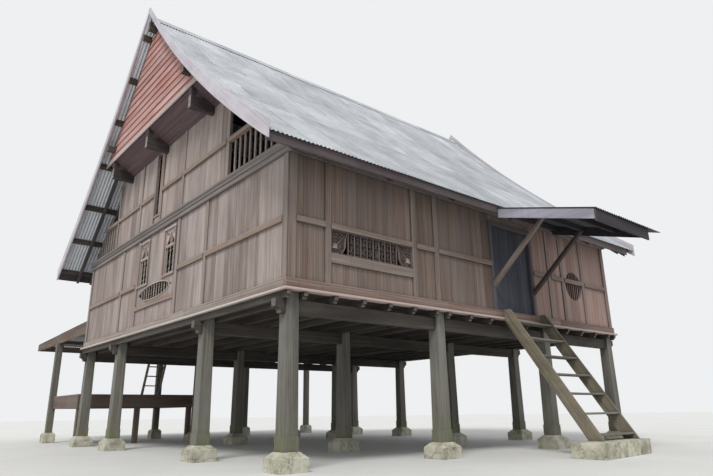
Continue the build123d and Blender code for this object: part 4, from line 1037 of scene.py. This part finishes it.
# Folded ridge cap in lapped lengths
CAP_LENGTHS, CAP_LAP, CAP_THICK = 6, 0.05, 0.0025
cap = Pieces(95)
for i in range(CAP_LENGTHS):
    x0, x1 = [VERGES[0] + (VERGES[1] - VERGES[0]) * k / CAP_LENGTHS for k in (i, i + 1)]
    up = 0.002 * (i % 2)
    half = [(0.228, 0.004 - up), (0.215, 0.001 - up), (0.030, -0.002 - up)]
    fold = [(RIDGE_Y - run, roof_z(run, drop)) for run, drop in half]
    fold += [(RIDGE_Y, RIDGE_Z + 0.010 + up)]
    fold += [(RIDGE_Y + run, roof_z(run, drop)) for run, drop in reversed(half)]
    under = [(y, z - CAP_THICK) for y, z in reversed(fold)]
    cap.strip(fold + under, x0, x1 + (CAP_LAP if i < CAP_LENGTHS - 1 else 0.0))
cap.build("ridge_cap_sheets", ["roof"], "roof_metal", "ridge_cap")


# Window fillings. Out is how far a part's back and its face stand out from the posts
TURNED_SMOOTH = 38
HALF_SLAT = 0.010
SLAT_OUT, SCROLL_OUT, SLANT_OUT = (0.012, 0.034), (0.014, 0.032), (0.014, 0.034)


def lining(pieces, side, a0, a1, z0, z1, width, out, kind=0):
    """A thin lining round a rectangular opening."""
    for z_low, z_high in ((z0, z0 + width), (z1 - width, z1)):
        pieces.slab(side, rectangle(a0, a1, z_low, z_high), out, kind)
    for low, high in ((a0, a0 + width), (a1 - width, a1)):
        pieces.slab(side, rectangle(low, high, z0 + width, z1 - width), out, kind)


def spiral(centre, radius, turns, start, hand, steps=22):
    """Points of a scroll that winds in to its centre."""
    points = []
    for i in range(steps + 1):
        t = i / steps
        angle = start + hand * turns * 2 * math.pi * t
        r = radius * (1 - 0.82 * t)
        points.append((centre[0] + r * math.cos(angle), centre[1] + r * math.sin(angle)))
    return points


def carved_panel(pieces, side, a_outer, a_inner, z0, z1):
    """An end panel: lattice above a slanting ogee edge, scrolls, a pale flower and a plain board below."""
    hand = 1 if a_inner > a_outer else -1
    width, height = abs(a_inner - a_outer), z1 - z0

    def at(u, v):
        """A point given as shares of the panel's width, from its outer end, and of its height."""
        return (a_outer + hand * u * width, z0 + v * height)

    def edge_at(v):
        return 0.97 - 0.34 * (1 - v) ** 1.4 + 0.05 * math.sin(2 * math.pi * v)

    # The backing board, with the ogee edge towards the bars
    outline = [at(0.0, 0.0)] + [at(edge_at(i / 12), i / 12) for i in range(13)] + [at(0.0, 1.0)]
    pieces.slab(side, outline, (0.004, 0.016), 0)
    pieces.ribbon(side, [at(edge_at(i / 14) - 0.03, i / 14) for i in range(15)], 0.026, (0.014, 0.040), 1)
    # A second slanting edge from the top corner, with the lattice above it
    slant = [at(0.10 + 0.72 * t, 0.30 + 0.62 * t ** 1.5) for t in (i / 12 for i in range(13))]
    pieces.ribbon(side, slant, 0.020, SLANT_OUT, 1)
    for column in range(5):
        for line in range(4):
            u, v = 0.10 + 0.15 * column, 0.90 - 0.17 * line
            if v < 0.42 + 0.62 * max(0.0, (u - 0.10) / 0.72) ** 1.5:
                continue
            turn = 1 if (column + line) % 2 else -1
            start = math.pi * 0.5 * ((column * 2 + line) % 4)
            scroll = spiral(at(u, v), 0.030, 1.1, start, turn * hand, 14)
            pieces.ribbon(side, scroll, 0.010, SCROLL_OUT, 1)
    # Scrolls below the lattice
    for column, (u, v) in enumerate(((0.14, 0.12), (0.36, 0.10), (0.56, 0.14), (0.66, 0.42), (0.44, 0.34))):
        scroll = spiral(at(u, v), 0.040, 1.3, 1.1 * column, hand, 18)
        pieces.ribbon(side, scroll, 0.012, SCROLL_OUT, 1)
    # Petals of the flower, the middle three longer
    heart = at(0.22, 0.22)
    for k in range(7):
        angle = math.radians(5 + 170 * k / 6)
        length = 0.085 if k in (2, 3, 4) else 0.062
        tip = (heart[0] + hand * length * math.cos(angle), heart[1] + length * math.sin(angle))
        points = [(heart[0] + (tip[0] - heart[0]) * i / 8, heart[1] + (tip[1] - heart[1]) * i / 8)
                  for i in range(9)]
        pieces.ribbon(side, points, 0.026, (0.016, 0.038 + 0.0006 * k), 2)


CARVED_LINING, PANEL_WIDTH, BAYS = 0.016, 0.36, 8


def carved_window(pieces, side, a0, a1, z0, z1):
    """Turned bars between flat slats, and a carved panel at each end."""
    lining(pieces, side, a0, a1, z0, z1, CARVED_LINING, (0.0, 0.042), 1)
    low, high = z0 + 0.014, z1 - 0.014
    ends = (a0 + PANEL_WIDTH, a1 - PANEL_WIDTH)
    pitch = (ends[1] - ends[0]) / BAYS
    for k in range(BAYS + 1):
        a = ends[0] + pitch * k
        pieces.slab(side, rectangle(a - HALF_SLAT, a + HALF_SLAT, low, high), SLAT_OUT, 1)
    for k in range(BAYS):
        pieces.turned(side, ends[0] + pitch * (k + 0.5), 0.020, low, high, 0.038, 0)
    carved_panel(pieces, side, a0 + CARVED_LINING, ends[0], low, high)
    carved_panel(pieces, side, a1 - CARVED_LINING, ends[1], low, high)


carved = Pieces(101)
carved_window(carved, "front", *CARVED)
carved_window(carved, "rear", *REAR_CARVED)
carved.build("carved_window_fillings", ["carving_dark z", "carving z", "carving_pale z"], "trim_wood",
             smooth=TURNED_SMOOTH)

bars = Pieces(102)
_, round_low, round_high = oval_hole(*ROUND)
for k in range(7):
    a = ROUND[0] + (k - 3) * ROUND[2] / 4
    span = (a - HALF_SLAT, a + HALF_SLAT)
    bars.upright("front", span, (0.030, 0.036), round_low, round_high, 2, 2, 0.002, warp=0.0)
# The bars take the lighter front wood, which is painted light
bars.build("round_window_bars", ["wall_front_right z"], "trim_wood")

# Tall windows: three balusters, a rail, and a pointed arch over it with a spear between scrolls
TALL_LINING, TALL_RAIL, HALF_RAIL = 0.024, 4.150, 0.028


def tall_window(pieces, side, a0, a1, z0, z1):
    lining(pieces, side, a0, a1, z0, z1, TALL_LINING, (0.0, 0.046))
    rail_low, arch_low, arch_high = TALL_RAIL - HALF_RAIL, TALL_RAIL + HALF_RAIL, z1 - TALL_LINING
    pieces.slab(side, rectangle(a0 + TALL_LINING, a1 - TALL_LINING, rail_low, arch_low), (0.004, 0.050))
    for k in range(3):
        a = a0 + TALL_LINING + (TALL_WIDTH - 2 * TALL_LINING) * (k + 0.5) / 3
        pieces.turned(side, a, 0.024, z0 + 0.022, TALL_RAIL - 0.026, 0.022, 1)
    place, half = (a0 + a1) / 2, TALL_WIDTH / 2 - TALL_LINING

    def arch(a):
        share = min(1.0, abs(a - place) / half)
        return arch_low + (arch_high - arch_low - 0.02) * (1 - share) ** 1.15

    span = (place - half, place + half)
    pieces.upright(side, span, (0.010, 0.034), arch, arch_high, 24, 2, 0.002, warp=0.0)
    for shift in (-0.045, 0.0, 0.045):
        top = arch(place + abs(shift) + 0.012) + 0.006
        span = (place + shift - HALF_SLAT, place + shift + HALF_SLAT)
        pieces.upright(side, span, (0.010, 0.028), arch_low, top, 1, 2, 0.003, kind=1, warp=0.0)
    for hand in (-1, 1):
        for k in range(3):
            centre = (place + hand * half * (0.86 - 0.20 * k), arch_high - 0.055 - 0.012 * k)
            scroll = spiral(centre, 0.040 - 0.006 * k, 1.3, math.pi * k, hand)
            pieces.ribbon(side, scroll, 0.010, (0.033, 0.042), 1)


narrow = Pieces(103)
OVAL_BARS, OVAL_PITCH = 11, 0.139
ovals = Pieces(104)
# The hatch leaf of each gable is two boards in the half of its opening that is nearer the front
LEAF_EDGES = (0.004, 0.110, 0.215)
leaves = Pieces(105)
for side in ("left", "right"):
    for span in TALL_SPANS:
        tall_window(narrow, side, *span, *TALL_Z)
    centre_a, centre_z, radius_a, radius_z = OVAL
    ovals.rim(side, (centre_a, centre_z), (radius_a - 0.004, radius_z - 0.004),
              (radius_a + 0.018, radius_z + 0.018), (0.036, 0.052))
    for k in range(OVAL_BARS):
        a = centre_a + (k - OVAL_BARS // 2) * OVAL_PITCH
        rise = radius_z * math.sqrt(1 - ((a - centre_a) / radius_a) ** 2)
        ovals.turned(side, a, 0.024, centre_z - rise - 0.004, centre_z + rise + 0.004, 0.021, 1)
    leaf_edges = [HATCH[0] + edge for edge in LEAF_EDGES]
    leaves.wall(side, leaf_edges, HATCH[2] + 0.006, HATCH[3] - 0.006, out=(0.004, 0.026))
narrow.build("tall_window_fillings", ["casing z", "carving_pale z"], "trim_wood", smooth=TURNED_SMOOTH)
ovals.build("oval_window_fillings", ["casing z", "carving_pale z"], "trim_wood", smooth=TURNED_SMOOTH)
leaves.build("hatch_leaves", ["rail_side z"], "trim_wood")


# Floor, light and view
def add_floor():
    t = Tree(bpy.data.materials.new("floor"))
    coords = t.add("TexCoord").outputs["Object"]
    clouds = t.noise(coords, 0.5, 5, 0.6)
    colour = t.ramp(clouds, [(0.3, (0.62, 0.62, 0.60, 1)), (0.7, (0.68, 0.68, 0.66, 1))])
    material = t.finish(colour, 0.9, t.noise(coords, 30, 4, 0.6), 0.001)
    bpy.ops.mesh.primitive_circle_add(vertices=96, radius=90, fill_type="NGON", location=(4.5, 5, 0))
    floor = bpy.context.object
    floor.name = "floor"
    floor.data.materials.append(material)


def add_light():
    """A pale backdrop for what the camera sees, an even sky for the house, and one soft sun."""
    world = bpy.data.worlds.new("studio")
    bpy.context.scene.world = world
    t = Tree(world)
    path = t.add("LightPath").outputs
    seen = t.math("MAXIMUM", path["Is Camera Ray"], path["Is Glossy Ray"])
    seen = t.math("MAXIMUM", seen, path["Is Transmission Ray"])
    sky = t.add("Background", {"Color": (0.96, 0.98, 1.0, 1), "Strength": 0.78}).outputs[0]
    backdrop = t.add("Background", {"Color": (0.86, 0.87, 0.88, 1)}).outputs[0]
    t.add("OutputWorld", {0: t.add("MixShader", {0: seen, 1: sky, 2: backdrop}).outputs[0]})
    data = bpy.data.lights.new("key", "SUN")
    data.energy = 2.0
    data.angle = math.radians(18)
    data.color = (1.0, 0.98, 0.95)
    key = bpy.data.objects.new("key", data)
    sunlight = Vector((0.66, 0.46, -0.90))
    key.rotation_euler = sunlight.to_track_quat("-Z", "Y").to_euler()
    bpy.context.scene.collection.objects.link(key)


add_floor()
add_light()
bpy.context.scene.view_settings.view_transform = "Standard"
